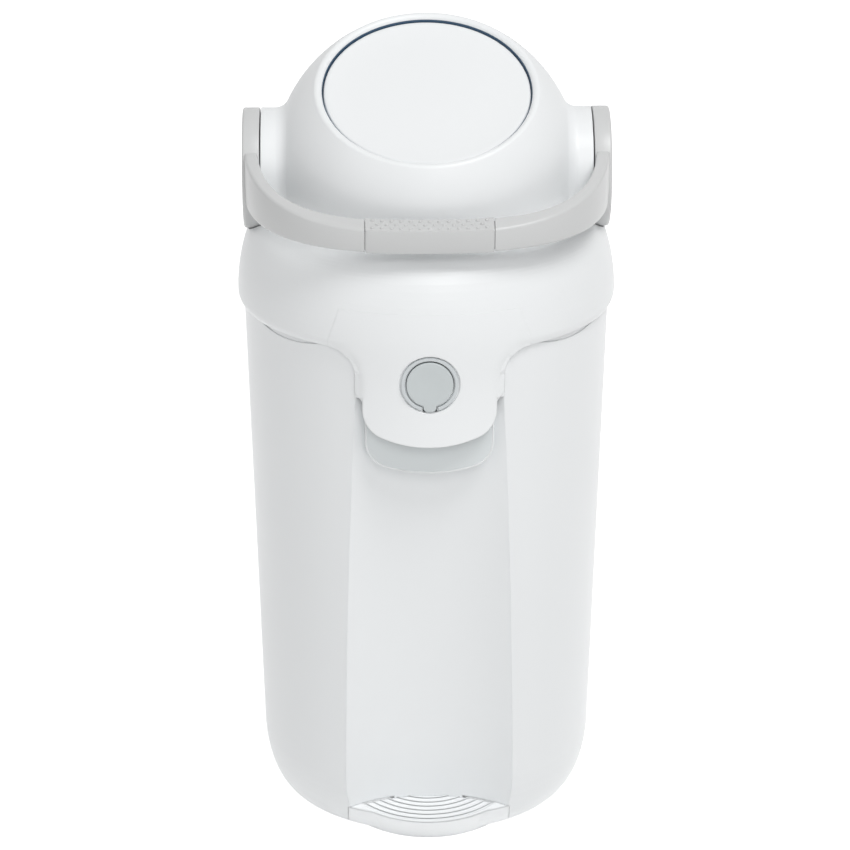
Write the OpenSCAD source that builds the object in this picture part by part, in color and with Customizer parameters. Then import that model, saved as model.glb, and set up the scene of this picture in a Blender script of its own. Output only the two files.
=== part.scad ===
// Nappy bin with a turning drum: a tapered round bin, a hinged lid that carries a hollow drum,
// a U-shaped handle that turns the drum, and a piston that slides in the drum's bore.
// +Z up, front towards -Y, origin on the floor under the middle of the bin. Millimetres.

/* [Body] */
// Height of the bin's rim above the floor
body_h = 442; // [425:1:460]
// Outside radius at the rim
body_top_r = 151.1; // [149.5:0.1:153]
// Outside radius where the base starts to round in
body_low_r = 139.8; // [134:0.2:144]
// Height at which the base starts to round in
base_round_h = 61.6; // [50:0.2:75]
// How far the base rounds in
base_in = 25.9; // [20:0.1:30]
// Thickness of the bin's wall
body_wall = 2.6; // [2:0.1:3.2]
// Thickness of the bin's floor
floor_wall = 4; // [3.5:0.1:6]
// Depth of the two finger scoops below the rim
scoop_drop = 4.5; // [3:0.1:5]
// Half length of a finger scoop
scoop_half_l = 38; // [30:0.5:42]
// How deep a scoop goes into the wall
scoop_in = 0.8; // [0.4:0.1:1.2]
// Turn of the scoops away from the front, in degrees
scoop_turn = 50; // [46:1:54]

/* [Front hollow] */
// Radius of the hollow down the front, at the rim
hollow_top_r = 156; // [145:1:170]
// Radius of the hollow at the foot step
hollow_low_r = 101; // [95:1:110]
// Depth of the hollow in the wall's outside at the rim
hollow_top_d = 22.1; // [20:0.1:24]
// Depth of the hollow at the foot step, inside the radius where the base starts to round in
hollow_low_d = 47.8; // [45:0.1:50]

/* [Foot step] */
// Half width of the foot step between its two side seams
step_half_w = 68; // [64:0.5:70]
// Height of the step's rim
step_h = 24; // [20:0.5:28]
// Radius of the round bar that the step's front is cut from
step_r = 80; // [76:0.5:84]
// How far the step's top rim stands out past the radius where the base starts to round in
step_out = 5.2; // [2:0.1:9]
// How far the step's front draws in from its rim to its lower edge
step_draw = 17; // [13:0.5:21]
// How far the step's straight back edge lies in front of the hollow's deepest line
step_lap = 4; // [3:0.5:6]
// Width of the rim round the tread
tread_rim = 4; // [3:0.5:6]
// Depth of the tread under its rim
tread_drop = 2; // [1.4:0.1:3]
// Number of curved ribs on the tread
tread_ribs = 6; // [4:1:7]
// Spacing of the ribs
tread_pitch = 6; // [5:0.5:7]
// Width of a rib
tread_rib_w = 1.4; // [1:0.2:2]
// Height of a rib
tread_rib_h = 0.9; // [0.5:0.1:1.4]

/* [Feet] */
// Radius of a rubber foot
foot_r = 10; // [8:0.5:12]
// Distance of the feet's middles inside the edge of the underside
foot_in = 15.9; // [13:0.1:20]
// Height that a foot stands proud of the underside
foot_proud = 1; // [0.8:0.1:2]
// Depth of a foot's seat in the floor
foot_seat = 2; // [1.5:0.1:2.5]

/* [Bag ring] */
// Distance of the bag ring's mouth inside the bin's rim
ring_in = 43.1; // [41:0.1:50]
// Length of the neck that the bag hangs round
ring_neck = 38; // [25:1:50]
// Thickness of the bag ring's flange
ring_t = 3; // [2.4:0.1:3.4]
// Width of the ledge that the bag ring lies on
ledge_w = 6; // [5:0.5:8]

/* [Lid] */
// Height of the lid's open edge above the bin's rim
lid_gap = 0.6; // [0.4:0.1:1]
// How far the lid at its widest stands out past the bin's rim
bulge_out = 5.1; // [4.6:0.1:6]
// Height of the widest point above the bin's rim
bulge_rise = 8; // [7:0.2:9]
// Radius of the lid's side above the widest point
bulge_up_r = 150; // [142:1:165]
// Radius of the lid's side under the widest point
bulge_low_r = 12; // [11:0.5:15]
// Height of the start of the shoulder above the bin's rim
shoulder_rise = 57; // [55:0.2:58]
// Radius of the shoulder's round
shoulder_r = 28; // [27:0.5:28.5]
// Thickness of the lid's wall
lid_wall = 3; // [2.4:0.1:3.4]
// Depth of the lip that hangs round the drum's opening
lip_drop = 14; // [8:1:16]

/* [Tongue] */
// Half width of the tongue's face, which hangs over the front hollow
tongue_half_w = 54; // [51:0.5:56]
// Width of the bevelled cheek at each side of the tongue's upper part
cheek_w = 6; // [4:0.5:7]
// Distance of the cheeks' lower ends below the bin's rim
cheek_drop = 36; // [32:0.5:40]
// Turn of a cheek from the width direction, in degrees
cheek_turn = 38; // [35:1:40]
// Distance of the tongue's lowest point below the bin's rim
tongue_drop = 76.6; // [73:0.2:80]
// Radius of the tongue's lower edge
tongue_edge_r = 117; // [100:1:140]
// Radius of the tongue's lower corners
tongue_corner_r = 22; // [18:0.5:28]
// Radius of the hollow curves from the tongue into the lid's edge
tongue_flare_r = 21; // [16:0.5:24]
// How far the tongue's face lies inside the lid's widest radius
tongue_in = 2.4; // [1.8:0.1:2.4]
// How far the tongue's lower edge kicks out past its face
tongue_kick = 3.4; // [2:0.1:4]
// Thickness of the tongue
tongue_wall = 2.4; // [2:0.1:2.4]

/* [Drum] */
// Height of the drum's axis above the bin's rim
pivot_rise = 109.5; // [109:0.1:111.5]
// Distance of the drum's dome inside the lid's widest radius
drum_in = 30.2; // [29.8:0.1:31.5]
// Radius of the round hubs at the drum's sides
hub_r = 49.3; // [46:0.1:50]
// How far the hub's face stands out past the dome
hub_proud = 8.6; // [7.5:0.1:8.6]
// Radius of the hollow curve from hub to dome
hub_fillet = 11.5; // [9:0.5:12]
// Thickness of the hub's end wall
hub_face_t = 8; // [7:0.2:9]
// Radius of the recess in the hub's face
recess_r = 26; // [24:0.5:30]
// Depth of that recess
recess_d = 3; // [2.6:0.1:4]
// Thickness of the dome's wall
drum_wall = 3; // [2.4:0.1:3.6]
// Radius of the drum's bore
bore_r = 84.5; // [82:0.1:85]
// Radius of the rounded edge at the bore's mouths
nose_r = 4; // [3:0.1:5]
// Forward tilt of the bore from upright, in degrees
bore_tilt = 27.5; // [24:0.5:30]
// Thickness of the sleeve between the two mouths
sleeve_t = 2; // [1.6:0.1:3]

/* [Piston] */
// Length of the piston along the bore
piston_t = 50; // [40:1:60]
// Depth of the piston's edge below the mouth's rounded edge
piston_sink = 2.4; // [2:0.1:4]
// Gap between the piston and the bore
piston_gap = 1; // [0.8:0.1:1.5]
// Depth of the dish in each end
dish_d = 5; // [3:0.2:7]
// Thickness of the piston's walls
piston_wall = 3; // [2.4:0.1:4]
// Height of a piston seal
seal_h = 4; // [3:0.2:5]
// Radius of the hub in the middle of the piston's core
core_hub_r = 22; // [18:1:30]
// Height of the core's rim and ribs
core_rib_h = 16; // [10:1:24]
// Thickness of the core's ribs
core_rib_t = 2.4; // [1.6:0.1:3]

/* [Handle] */
// Droop of the handle below level, in degrees
handle_droop = 6; // [4:0.5:7]
// Gap between the drum's dome and the inside of the handle
bow_gap = 3; // [2:0.1:5]
// Length of the straight part of each arm
arm_straight = 22; // [16:1:28]
// Radius of the handle's corners, outside
handle_corner_r = 120; // [116:1:124]
// Thickness of the arms and of the side discs
arm_t = 12.6; // [12:0.1:12.8]
// Thickness of the handle at the front
grip_t = 23.3; // [21:0.1:23.6]
// Half height of the handle at the front
grip_half_h = 9.2; // [8:0.1:10]
// Half height of the arms at the side discs
arm_half_h = 22.3; // [20:0.1:24]
// Half length of the soft grip
grip_half_l = 50.7; // [40:0.1:60]
// Depth of the seat of the soft grip
grip_seat = 2.2; // [1.6:0.1:3]
// Width of the bevel round the side discs
disc_bevel = 2; // [1:0.1:3]

/* [Drum bearing] */
// Radius of the spindle
spindle_r = 12; // [10:0.1:13]
// Side of the spindle's square ends
spindle_sq = 16.4; // [13:0.1:16.8]
// Thickness of the bearing plate
plate_t = 2; // [1.6:0.1:2.2]
// Radius of the bearing plate's eye
plate_eye_r = 26; // [24:0.5:30]
// Half width of the bearing plate's foot
plate_half_w = 20; // [17:0.5:22]
// Length of the plate below the drum's axis
plate_drop = 84; // [78:0.5:88]
// Wall of the bush
bush_t = 3; // [2.4:0.1:4]
// Radius of the bush's flange
bush_flange_r = 19; // [18:0.1:21]
// Thickness of the bush's flange
bush_flange_t = 2.2; // [2:0.1:2.5]
// Radius of the spindle's flange
spindle_flange_r = 22; // [20:0.5:24]
// Radius of the caps in the side discs
cap_r = 14; // [12:0.5:16]

/* [Chute] */
// Distance of the chute's top below the drum's axis
seal_drop = 61.5; // [58:0.1:64]
// Width of the seal on the chute's top
seal_w = 7.2; // [6.5:0.1:8]
// Thickness of the chute's wall
chute_wall = 2.5; // [2:0.1:3]
// Width of the lip under the seal
chute_lip = 1.6; // [1:0.1:2]
// Width of the lid's gasket
gasket_w = 6; // [5:0.1:7]
// Distance of the chute's flange inside the lid's widest radius
flange_in = 9.8; // [9:0.1:12]
// Distance of the chute's posts inside the lid's widest radius
post_in = 18.2; // [17:0.1:19]

/* [Push button] */
// Distance of the button's middle below the bin's rim
button_drop = 24.3; // [23:0.1:25.5]
// Radius of the button
button_r = 18.9; // [17:0.1:19.5]
// Thickness of the button's face
button_face_t = 2.6; // [2:0.1:3]
// How far the button's face stands proud of the tongue
button_proud = 1.4; // [1:0.1:2]
// Outside radius of the C-shaped ring
bezel_r = 23.6; // [22.5:0.1:25]
// Depth of the C-shaped ring's seat in the tongue
bezel_sink = 1.2; // [0.8:0.1:1.4]
// How far the C-shaped ring stands proud of the tongue
bezel_proud = 1.2; // [0.6:0.1:1.6]
// Half width of the tab that fills the ring's gap
tab_half_w = 5.3; // [4:0.1:6]
// Travel of the button
button_travel = 3.5; // [3:0.1:3.8]
// Depth of the button's housing behind the tongue's face
housing_depth = 15; // [14:0.1:17]
// Wall of the button's housing
housing_wall = 2.6; // [2:0.1:3]

/* [Latch] */
// Distance of the latch's pin below the bin's rim
latch_drop = 56; // [55:0.1:57]
// Distance of the latch's pin behind the tongue's face
latch_in = 8.4; // [8:0.1:8.8]
// Length of each arm of the latch
latch_arm = 18; // [16:0.1:19]
// Thickness of the latch
latch_t = 3.6; // [3:0.1:4]
// Half width of the latch
latch_half_w = 9; // [7:0.5:11]
// Radius of the latch's pin
latch_pin_r = 2; // [1.6:0.1:2.2]
// Distance of the keeper's front face behind the latch's pin
keeper_in = 5.2; // [5:0.1:6]
// Distance of the keeper's two screws from the middle
keeper_screw_x = 30; // [26:1:34]
// Height of those screws above the keeper's lowest point
keeper_screw_rise = 32; // [28:1:36]
// Radius of the bosses that they go through
boss_r = 6; // [5:0.5:7]
// Half width of the keeper
keeper_half_w = 51; // [46:0.5:54]
// Distance of the keeper's lowest point below the bin's rim
keeper_drop = 105; // [101:0.2:109]
// Distance of the keeper's top below the bin's rim
keeper_top_drop = 46; // [45:0.2:50]

/* [Hinge] */
// Distance of the hinge's axis outside the bin's rim
hinge_out = 0.9; // [0.7:0.1:1.1]
// Height of the hinge's axis above the bin's rim
hinge_rise = 2.6; // [2.2:0.1:3]
// Radius of the hinge's knuckles
knuckle_r = 4.3; // [4:0.1:4.4]
// Radius of the hinge's pin
hinge_pin_r = 2; // [1.6:0.1:2.2]
// Half length of the middle knuckle
knuckle_half_l = 12; // [10:0.5:14]
// Length of each outer knuckle
knuckle_side_l = 15; // [12:0.5:18]

/* [Clearances] */
// Gap between faces of pieces that move past each other
run_gap = 0.3; // [0.25:0.05:0.4]
// Gap round pieces that are fitted together
fit_gap = 0.15; // [0.1:0.05:0.2]
// Gap round a pin or a shaft
pin_gap = 0.06; // [0.04:0.01:0.09]
// Gap round the drum where the lid surrounds it
drum_gap = 1; // [0.8:0.1:1.5]
// Gap between the drum's dome and the lip of its opening
lip_gap = 2; // [1.5:0.1:2.5]

/* [Hidden] */

$fn = 96;
far = 400;
// Depth by which round curves run into each other, so that they cross and don't just touch.
blend = 0.04;

white = [0.93, 0.94, 0.94];
grey = [0.68, 0.70, 0.71];
pale_grey = [0.80, 0.82, 0.82];
steel = [0.72, 0.73, 0.75];
rubber_grey = [0.45, 0.47, 0.48];

// Radii and reaches from the bin's axis, worked out from the sizes above.
base_r = body_low_r - base_in;
hollow_top_y = body_top_r - hollow_top_d;
hollow_low_y = body_low_r - hollow_low_d;
step_top_reach = body_low_r + step_out;
step_low_reach = step_top_reach - step_draw;
step_back_y = hollow_low_y + step_lap;
foot_place_r = base_r - foot_in;
ring_mouth_r = body_top_r - ring_in;
bulge_r = body_top_r + bulge_out;
tongue_face_r = bulge_r - tongue_in;
tongue_low_r = tongue_face_r + tongue_kick;
drum_r = bulge_r - drum_in;
hub_reach = drum_r + hub_proud;
plate_x = hub_reach + run_gap;
disc_x = plate_x + plate_t + run_gap;
handle_half_w = disc_x + arm_t;
handle_reach = drum_r + bow_gap + grip_t;
button_face_y = tongue_face_r + button_proud;
latch_y = tongue_face_r - latch_in;
keeper_y = latch_y - keeper_in;
hinge_y = body_top_r + hinge_out;
flange_r = bulge_r - flange_in;
post_place_r = bulge_r - post_in;
// Where cuts in the hubs start, well inside the drum's side wall.
inside_x = hub_reach - hub_face_t - 20;

// Heights worked out from the sizes above.
pivot_z = body_h + pivot_rise;
lid_z = body_h + lid_gap;
bulge_z = body_h + bulge_rise;
shoulder_z = body_h + shoulder_rise;
hinge_z = body_h + hinge_rise;
button_z = body_h - button_drop;
latch_z = body_h - latch_drop;
notch_r = knuckle_r + 0.5;
housing_r = button_r + run_gap + housing_wall;
housing_y = tongue_face_r - tongue_wall - 0.4;
ring_sink = 0.5;
ledge_z = body_h - ring_sink - ring_t;
chute_z = lid_z + 2;
seal_z = pivot_z - seal_drop;
seal_in_r = sqrt(pow(drum_r + run_gap, 2) - pow(seal_drop, 2));
chute_out_r = seal_in_r + seal_w;
chute_in_r = chute_out_r - chute_wall;
keeper_screw_z = body_h - keeper_drop + keeper_screw_rise;
boss_y = hollow_y(keeper_screw_z) - 6.5;

// An arc as a list of points, from angle a0 to angle a1.
function arc(c, r, a0, a1, n) =
    [for (i = [0 : n]) let (a = a0 + (a1 - a0) * i / n) [c[0] + r * cos(a), c[1] + r * sin(a)]];

// Outside radius of the bin's straight taper at height z.
function body_r(z) =
    body_low_r + (body_top_r - body_low_r) * (z - base_round_h) / (body_h - base_round_h);

// Distance of the hollow's deepest line from the bin's axis at height z.
function hollow_y(z) = hollow_low_y + (hollow_top_y - hollow_low_y) * (z - step_h) / (body_h - step_h);

module mirror_pair() {
    children();
    mirror([1, 0, 0]) children();
}

// A rod along X from x0 to x1, through (y, z).
module rod_x(r, x0, x1, y, z) {
    translate([x0, y, z]) rotate([0, 90, 0]) cylinder(r = r, h = x1 - x0);
}

// A rod along Y from y0 to y1, through (x, z).
module rod_y(r, y0, y1, x, z) {
    translate([x, y0, z]) rotate([-90, 0, 0]) cylinder(r = r, h = y1 - y0);
}

// A flat outline in X and Z, drawn out along Y from y0 to y1.
module slab_y(y0, y1) {
    translate([0, y1, 0]) rotate([90, 0, 0]) linear_extrude(height = y1 - y0) children();
}

// ---------------------------------------------------------------- bin

// The bin's solid form, drawn in by g, from height z0 to its top.
module body_fill(g, z0, top) {
    rise = base_round_h - z0;
    foot = [for (t = [0 : 9 : 90]) [base_r - g + (body_low_r - base_r) * sin(t), z0 + rise * (1 - cos(t))]];
    rotate_extrude() polygon(concat([[0, z0]], foot, [[body_r(top) - g, top], [0, top]]));
}

// The long hollow down the front, grown by g: a leaning cone, wide at the rim.
module front_hollow(g) {
    rise = body_h - step_h;
    over = 60;
    grow = (hollow_top_r - hollow_low_r) / rise;
    lean = atan((hollow_top_y - hollow_low_y) / rise) + atan(grow);
    translate([0, -hollow_low_y, step_h]) rotate([lean, 0, 0]) translate([0, -hollow_low_r, -over])
        cylinder(r1 = hollow_low_r + g - over * grow, r2 = hollow_top_r + g + over * grow, h = rise + 2 * over);
}

// The box cut out of the bin's lower front, which the foot step fills, grown by g.
module step_box(g) {
    translate([-step_half_w - g, -far, -far / 4])
        cube([2 * (step_half_w + g), far - step_back_y + g, far / 4 + step_h + g]);
}

module front_recess(g) {
    front_hollow(g);
    step_box(g);
}

// The bag ring's ledge: a ring inside the wall, left out at the front hollow.
module ledge() {
    out_r = body_r(ledge_z) - body_wall / 2;
    difference() {
        translate([0, 0, ledge_z - ring_t]) cylinder(r = out_r, h = ring_t);
        translate([0, 0, ledge_z - ring_t - 1])
            cylinder(r = body_r(ledge_z) - body_wall - ledge_w, h = ring_t + 2);
        translate([-step_half_w, -far, 0]) cube([2 * step_half_w, far - hollow_low_y, far * 2]);
    }
}

// An outer hinge knuckle with the gusset that carries it down into the wall.
module side_knuckle() {
    x0 = knuckle_half_l + run_gap;
    rod_x(knuckle_r, x0, x0 + knuckle_side_l, hinge_y, hinge_z);
    translate([x0, 0, 0]) rotate([90, 0, 90]) linear_extrude(height = knuckle_side_l)
        polygon([
            [body_top_r - body_wall, body_h - 26], [body_top_r - 1, body_h - 26],
            [hinge_y + 1, hinge_z - knuckle_r + 0.2], [hinge_y, hinge_z], [body_top_r - body_wall, body_h]
        ]);
}

module keeper_boss_spots() {
    for (s = [-1, 1]) translate([s * keeper_screw_x, 0, keeper_screw_z]) children();
}

module bin_body() {
    color(white) difference() {
        union() {
            difference() {
                body_fill(0, foot_proud, body_h);
                front_recess(0);
                difference() {
                    body_fill(body_wall, foot_proud + floor_wall, body_h + 1);
                    front_recess(body_wall);
                    keeper_boss_spots() rod_y(boss_r, -hollow_top_y, -boss_y, 0, 0);
                }
            }
            ledge();
            mirror_pair() side_knuckle();
        }
        rod_x(hinge_pin_r + pin_gap, -far, far, hinge_y, hinge_z);
        rod_x(notch_r, -knuckle_half_l - run_gap, knuckle_half_l + run_gap, hinge_y, hinge_z);
        rim_scoops();
        keeper_boss_spots() rod_y(2, -hollow_top_y - 10, -hollow_low_y, 0, 0);
        foot_spots() cylinder(r = foot_r + fit_gap, h = foot_proud + foot_seat);
    }
}

// Two shallow finger scoops in the wall, just under the lid's edge.
module rim_scoops() {
    r = (pow(scoop_half_l, 2) + pow(scoop_drop, 2)) / (2 * scoop_drop);
    difference() {
        for (t = [-1, 1]) rotate([0, 0, t * scoop_turn]) rod_y(r, -far, -hollow_low_y, 0, body_h - scoop_drop + r);
        body_fill(scoop_in, foot_proud, body_h + 1);
    }
}

module foot_spots() {
    for (a = [45 : 90 : 315]) rotate([0, 0, a]) translate([foot_place_r, 0, 0]) children();
}

module rubber_feet() {
    color(rubber_grey) foot_spots() {
        cylinder(r1 = foot_r - 0.6, r2 = foot_r, h = 0.6);
        translate([0, 0, 0.6]) cylinder(r = foot_r, h = foot_proud + foot_seat - 0.6);
    }
}

// The step's leaning half-moon, g inside its outline: a round bar that leans forward.
module step_moon(g) {
    lean = atan((step_top_reach - step_low_reach) / (step_h - foot_proud));
    r = step_r / cos(lean);
    translate([0, r - step_low_reach, foot_proud]) rotate([lean, 0, 0])
        cylinder(r = step_r - g, h = 2 * far, center = true);
}

// A level slice of everything, from height z0 to height z1.
module slice(z0, z1) {
    translate([-far / 2, -far, z0]) cube([far, far, z1 - z0]);
}

module foot_step() {
    tread_z = step_h - tread_drop;
    color(white) difference() {
        intersection() {
            union() {
                body_fill(0, foot_proud, body_h);
                step_moon(0);
            }
            front_recess(-fit_gap);
            slice(foot_proud, step_h);
        }
        difference() {
            intersection() {
                step_moon(tread_rim);
                front_hollow(0);
                slice(tread_z, step_h + 1);
            }
            for (i = [0 : tread_ribs - 1]) tread_rib(tread_rim + 3 + i * tread_pitch, tread_z);
        }
        intersection() {
            step_moon(body_wall + 2);
            front_hollow(-fit_gap - body_wall);
            step_box(-fit_gap - body_wall);
            slice(-1, tread_z - 3);
        }
    }
}

// A curved rib on the tread, g inside the step's outline.
module tread_rib(g, z) {
    difference() {
        step_moon(g);
        step_moon(g + tread_rib_w);
        slice(z + tread_rib_h, far);
    }
}

// Outline of the tongue and of the keeper: straight sides, a crowned lower edge and round corners.
function shield(half_w, low, top, edge_r, corner_r) =
    let (
        edge_c = [0, low + edge_r],
        cx = half_w - corner_r,
        cz = edge_c[1] - sqrt(pow(edge_r - corner_r, 2) - cx * cx),
        a = atan2(cz - edge_c[1], cx),
        right = concat(arc(edge_c, edge_r, -90, a, 8), arc([cx, cz], corner_r, a, 0, 8), [[half_w, top]])
    )
    concat(right, [for (i = [len(right) - 1 : -1 : 1]) [-right[i][0], right[i][1]]]);

module latch_keeper() {
    low = body_h - keeper_drop;
    top = body_h - keeper_top_drop;
    nose_low = latch_z - latch_arm - 4;
    color(pale_grey) difference() {
        intersection() {
            slab_y(-keeper_y, -hollow_low_y)
                polygon(shield(keeper_half_w, low, top, tongue_edge_r, tongue_corner_r));
            front_hollow(-fit_gap);
        }
        translate([-latch_half_w - 1.5, -keeper_y - 1, nose_low]) cube([2 * latch_half_w + 3, 7, 11]);
        keeper_boss_spots() rod_y(1.6, -keeper_y + 4, -hollow_low_y, 0, 0);
    }
}

module keeper_screws() {
    color(steel) keeper_boss_spots() {
        rod_y(1.6, -keeper_y + 5, -boss_y + 1, 0, 0);
        rod_y(4, -boss_y, -boss_y + 2.4, 0, 0);
    }
}

module hinge_pin() {
    end_x = knuckle_half_l + run_gap + knuckle_side_l;
    color(steel) {
        rod_x(hinge_pin_r, -end_x, end_x, hinge_y, hinge_z);
        mirror_pair() rod_x(hinge_pin_r + 1, end_x, end_x + 1.2, hinge_y, hinge_z);
    }
}

module bag_ring() {
    out_r = body_r(ledge_z) - body_wall - 0.5;
    flat_y = hollow_top_y - body_wall - 1.2;
    color(white) {
        difference() {
            translate([0, 0, ledge_z]) cylinder(r = out_r, h = ring_t);
            translate([0, 0, ledge_z - 1]) cylinder(r = ring_mouth_r, h = ring_t + 2);
            translate([-step_half_w, -far, 0]) cube([2 * step_half_w, far - flat_y, far * 2]);
        }
        difference() {
            translate([0, 0, ledge_z - ring_neck]) cylinder(r = ring_mouth_r + 2.4, h = ring_neck);
            translate([0, 0, ledge_z - ring_neck - 1]) cylinder(r = ring_mouth_r, h = ring_neck + 2);
        }
        translate([0, 0, ledge_z - ring_neck]) rotate_extrude()
            translate([ring_mouth_r + 2.4, 1.5]) circle(r = 1.5, $fn = 24);
    }
}

// ---------------------------------------------------------------- lid

// Radius and height of the lid's outside, drawn in by g: edge, bulge, side and shoulder.
function lid_low_a() = -asin((bulge_z - lid_z) / bulge_low_r);
function lid_up_a() = asin((shoulder_z - bulge_z) / bulge_up_r);
function lid_shoulder_c() =
    let (a = lid_up_a(), d = bulge_up_r - shoulder_r) [bulge_r - bulge_up_r + d * cos(a), bulge_z + d * sin(a)];
function lid_top_z() = lid_shoulder_c()[1] + shoulder_r;
function lip_r() = sqrt(pow(drum_r, 2) - pow(pivot_z - lid_top_z(), 2)) + lip_gap;
function lid_side(g) = concat(
    arc([bulge_r - bulge_low_r, bulge_z], bulge_low_r - g, lid_low_a(), 0, 8),
    arc([bulge_r - bulge_up_r, bulge_z], bulge_up_r - g, lid_up_a() / 8, lid_up_a(), 7),
    arc(lid_shoulder_c(), shoulder_r - g, lid_up_a() + 8, 90, 10)
);

// The lid's solid form, drawn in by g.
module lid_fill(g) {
    side = lid_side(g);
    low = lid_side(g)[0];
    rotate_extrude() polygon(concat(
        [[0, lid_z - g], [low[0], lid_z - g]], side, [[0, lid_top_z() - g]]
    ));
}

// The drum's outline turned about the spindle axis: dome, hollow curves and hubs, grown by e.
module drum_form(e, reach) {
    cx = hub_r + hub_fillet - blend;
    cz = sqrt(pow(drum_r + hub_fillet - blend, 2) - cx * cx);
    rotate([0, 90, 0]) rotate_extrude() {
        intersection() {
            circle(r = drum_r + e);
            translate([0, -far]) square([far, 2 * far]);
        }
        for (s = [-1, 1]) difference() {
            polygon(s > 0 ? [[0, 0], [cx, cz], [0, cz]] : [[0, 0], [0, -cz], [cx, -cz]]);
            translate([cx, s * cz]) circle(r = hub_fillet - e);
        }
        translate([0, -reach]) square([hub_r + e, 2 * reach]);
    }
}

module at_pivot() {
    translate([0, 0, pivot_z]) children();
}

// Outline that the tongue is cut to: its face, the cheeks and the hollow curves into the lid's edge.
module tongue_outline() {
    low = body_h - tongue_drop;
    side = body_h - cheek_drop;
    r = tongue_flare_r;
    half = tongue_half_w + cheek_w;
    difference() {
        union() {
            polygon(shield(tongue_half_w, low, bulge_z, tongue_edge_r, tongue_corner_r));
            polygon([
                [-half, lid_z], [-half, side], [-tongue_half_w, side - cheek_w],
                [tongue_half_w, side - cheek_w], [half, side], [half, lid_z]
            ]);
            translate([-half - r, lid_z - r]) square([2 * (half + r), r + 3]);
        }
        for (s = [-1, 1]) translate([s * (half + r), lid_z - r]) circle(r = r);
    }
}

// The tongue's wall in section, turned about the bin's axis: it leaves the lid's side in a soft
// curve, drops straight and kicks out at its lower edge.
module tongue_wall_form() {
    low = body_h - tongue_drop - 1;
    top = lid_z + 4;
    bend = 18;
    kick = 43;
    upper = [for (i = [0 : 5]) let (u = 1 - i / 5) [tongue_face_r + 1.7 * u * u, top - bend * (1 - u)]];
    lower = [for (i = [0 : 6]) let (v = i / 6) [tongue_face_r + tongue_kick * v * v, low + kick * (1 - v)]];
    face = concat(upper, lower);
    back = [for (i = [len(face) - 1 : -1 : 0]) [face[i][0] - tongue_wall, face[i][1]]];
    rotate_extrude() polygon(concat(face, back));
}

// What is cut off the tongue's cheeks; it runs out under the lid's edge.
module cheek_bevels() {
    x = tongue_half_w;
    out = 7.5;
    mirror_pair() translate([x, -sqrt(pow(tongue_face_r, 2) - x * x), 0]) rotate([0, 0, cheek_turn])
        rotate([90, 0, 90]) linear_extrude(height = 3 * out) polygon([
            [-4 * out, 0], [0, 0], [0, lid_z - tongue_flare_r], [-out, lid_z - 4], [-4 * out, lid_z - 4]
        ]);
}

// Posts that the chute is screwed up to.
module post_spots() {
    for (a = [30, 90, 150, 222, 318]) rotate([0, 0, a]) translate([post_place_r, 0, 0]) children();
}

// The lid's hollow round each hub and side disc.
module hub_pocket(e) {
    at_pivot() mirror_pair() rod_x(hub_r + drum_gap + e, lip_r() - 12, far, 0, 0);
}

// The block that a bearing plate's foot is screwed to.
module plate_seat() {
    side = 3;
    translate([plate_x + plate_t, -plate_half_w - side, pivot_z - plate_drop])
        cube([20, 2 * (plate_half_w + side), 30]);
}

module plate_screw_spots() {
    for (y = [-12, 12]) translate([0, y, pivot_z - plate_drop + 10]) children();
}

// Two ears on the tongue's back that hold the latch's pin.
module latch_ears() {
    x0 = latch_half_w + run_gap;
    mirror_pair() translate([x0, 0, 0]) rotate([90, 0, 90]) linear_extrude(height = 3) {
        translate([-latch_y, latch_z]) circle(r = latch_pin_r + 2.2);
        translate([-tongue_face_r + 1, latch_z - latch_pin_r - 2.2])
            square([tongue_face_r - 1 - latch_y, 2 * (latch_pin_r + 2.2)]);
    }
}

module lid_collar() {
    seat_z = lid_z + 5;
    color(white) difference() {
        union() {
            difference() {
                lid_fill(0);
                difference() {
                    lid_fill(lid_wall);
                    lid_lip();
                    hub_pocket(lid_wall);
                    mirror_pair() plate_seat();
                    post_spots() translate([0, 0, seat_z]) cylinder(r = 5, h = far);
                }
            }
            difference() {
                intersection() {
                    tongue_wall_form();
                    slab_y(-far, 0) tongue_outline();
                }
                cheek_bevels();
            }
            latch_ears();
            rod_x(knuckle_r, -knuckle_half_l, knuckle_half_l, hinge_y, hinge_z);
        }
        translate([0, 0, pivot_z - drum_r]) cylinder(r = lip_r(), h = far);
        at_pivot() drum_form(drum_gap, far / 2);
        mirror_pair() plate_slot();
        mirror_pair() rod_x(notch_r, knuckle_half_l, knuckle_half_l + knuckle_side_l + 2.5, hinge_y, hinge_z);
        rod_y(housing_r + fit_gap, -housing_y - fit_gap, -body_low_r + 20, 0, button_z);
        rod_x(hinge_pin_r + pin_gap, -far, far, hinge_y, hinge_z);
        rod_y(button_r + run_gap, -far, -body_low_r, 0, button_z);
        rod_y(bezel_r + fit_gap, -far, -tongue_face_r + bezel_sink, 0, button_z);
        translate([-tab_half_w - run_gap, -far, button_z - bezel_r]) cube([2 * (tab_half_w + run_gap), far - body_low_r, bezel_r]);
        rod_x(latch_pin_r, -latch_half_w - 10, latch_half_w + 10, -latch_y, latch_z);
        post_spots() translate([0, 0, seat_z - 1]) cylinder(r = 1.6, h = 20);
    }
}

// The lip that hangs from the shoulder round the drum's opening.
module lid_lip() {
    translate([0, 0, lid_top_z() - lip_drop]) cylinder(r = lip_r() + lid_wall, h = far);
}

// The slot that lets a bearing plate through the pocket's floor.
module plate_slot() {
    translate([plate_x - fit_gap, -plate_half_w - fit_gap, pivot_z - plate_drop])
        cube([plate_t + 2 * fit_gap, 2 * (plate_half_w + fit_gap), plate_drop]);
    plate_screw_spots() rod_x(1.6, plate_x, plate_x + 12, 0, 0);
}

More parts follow.
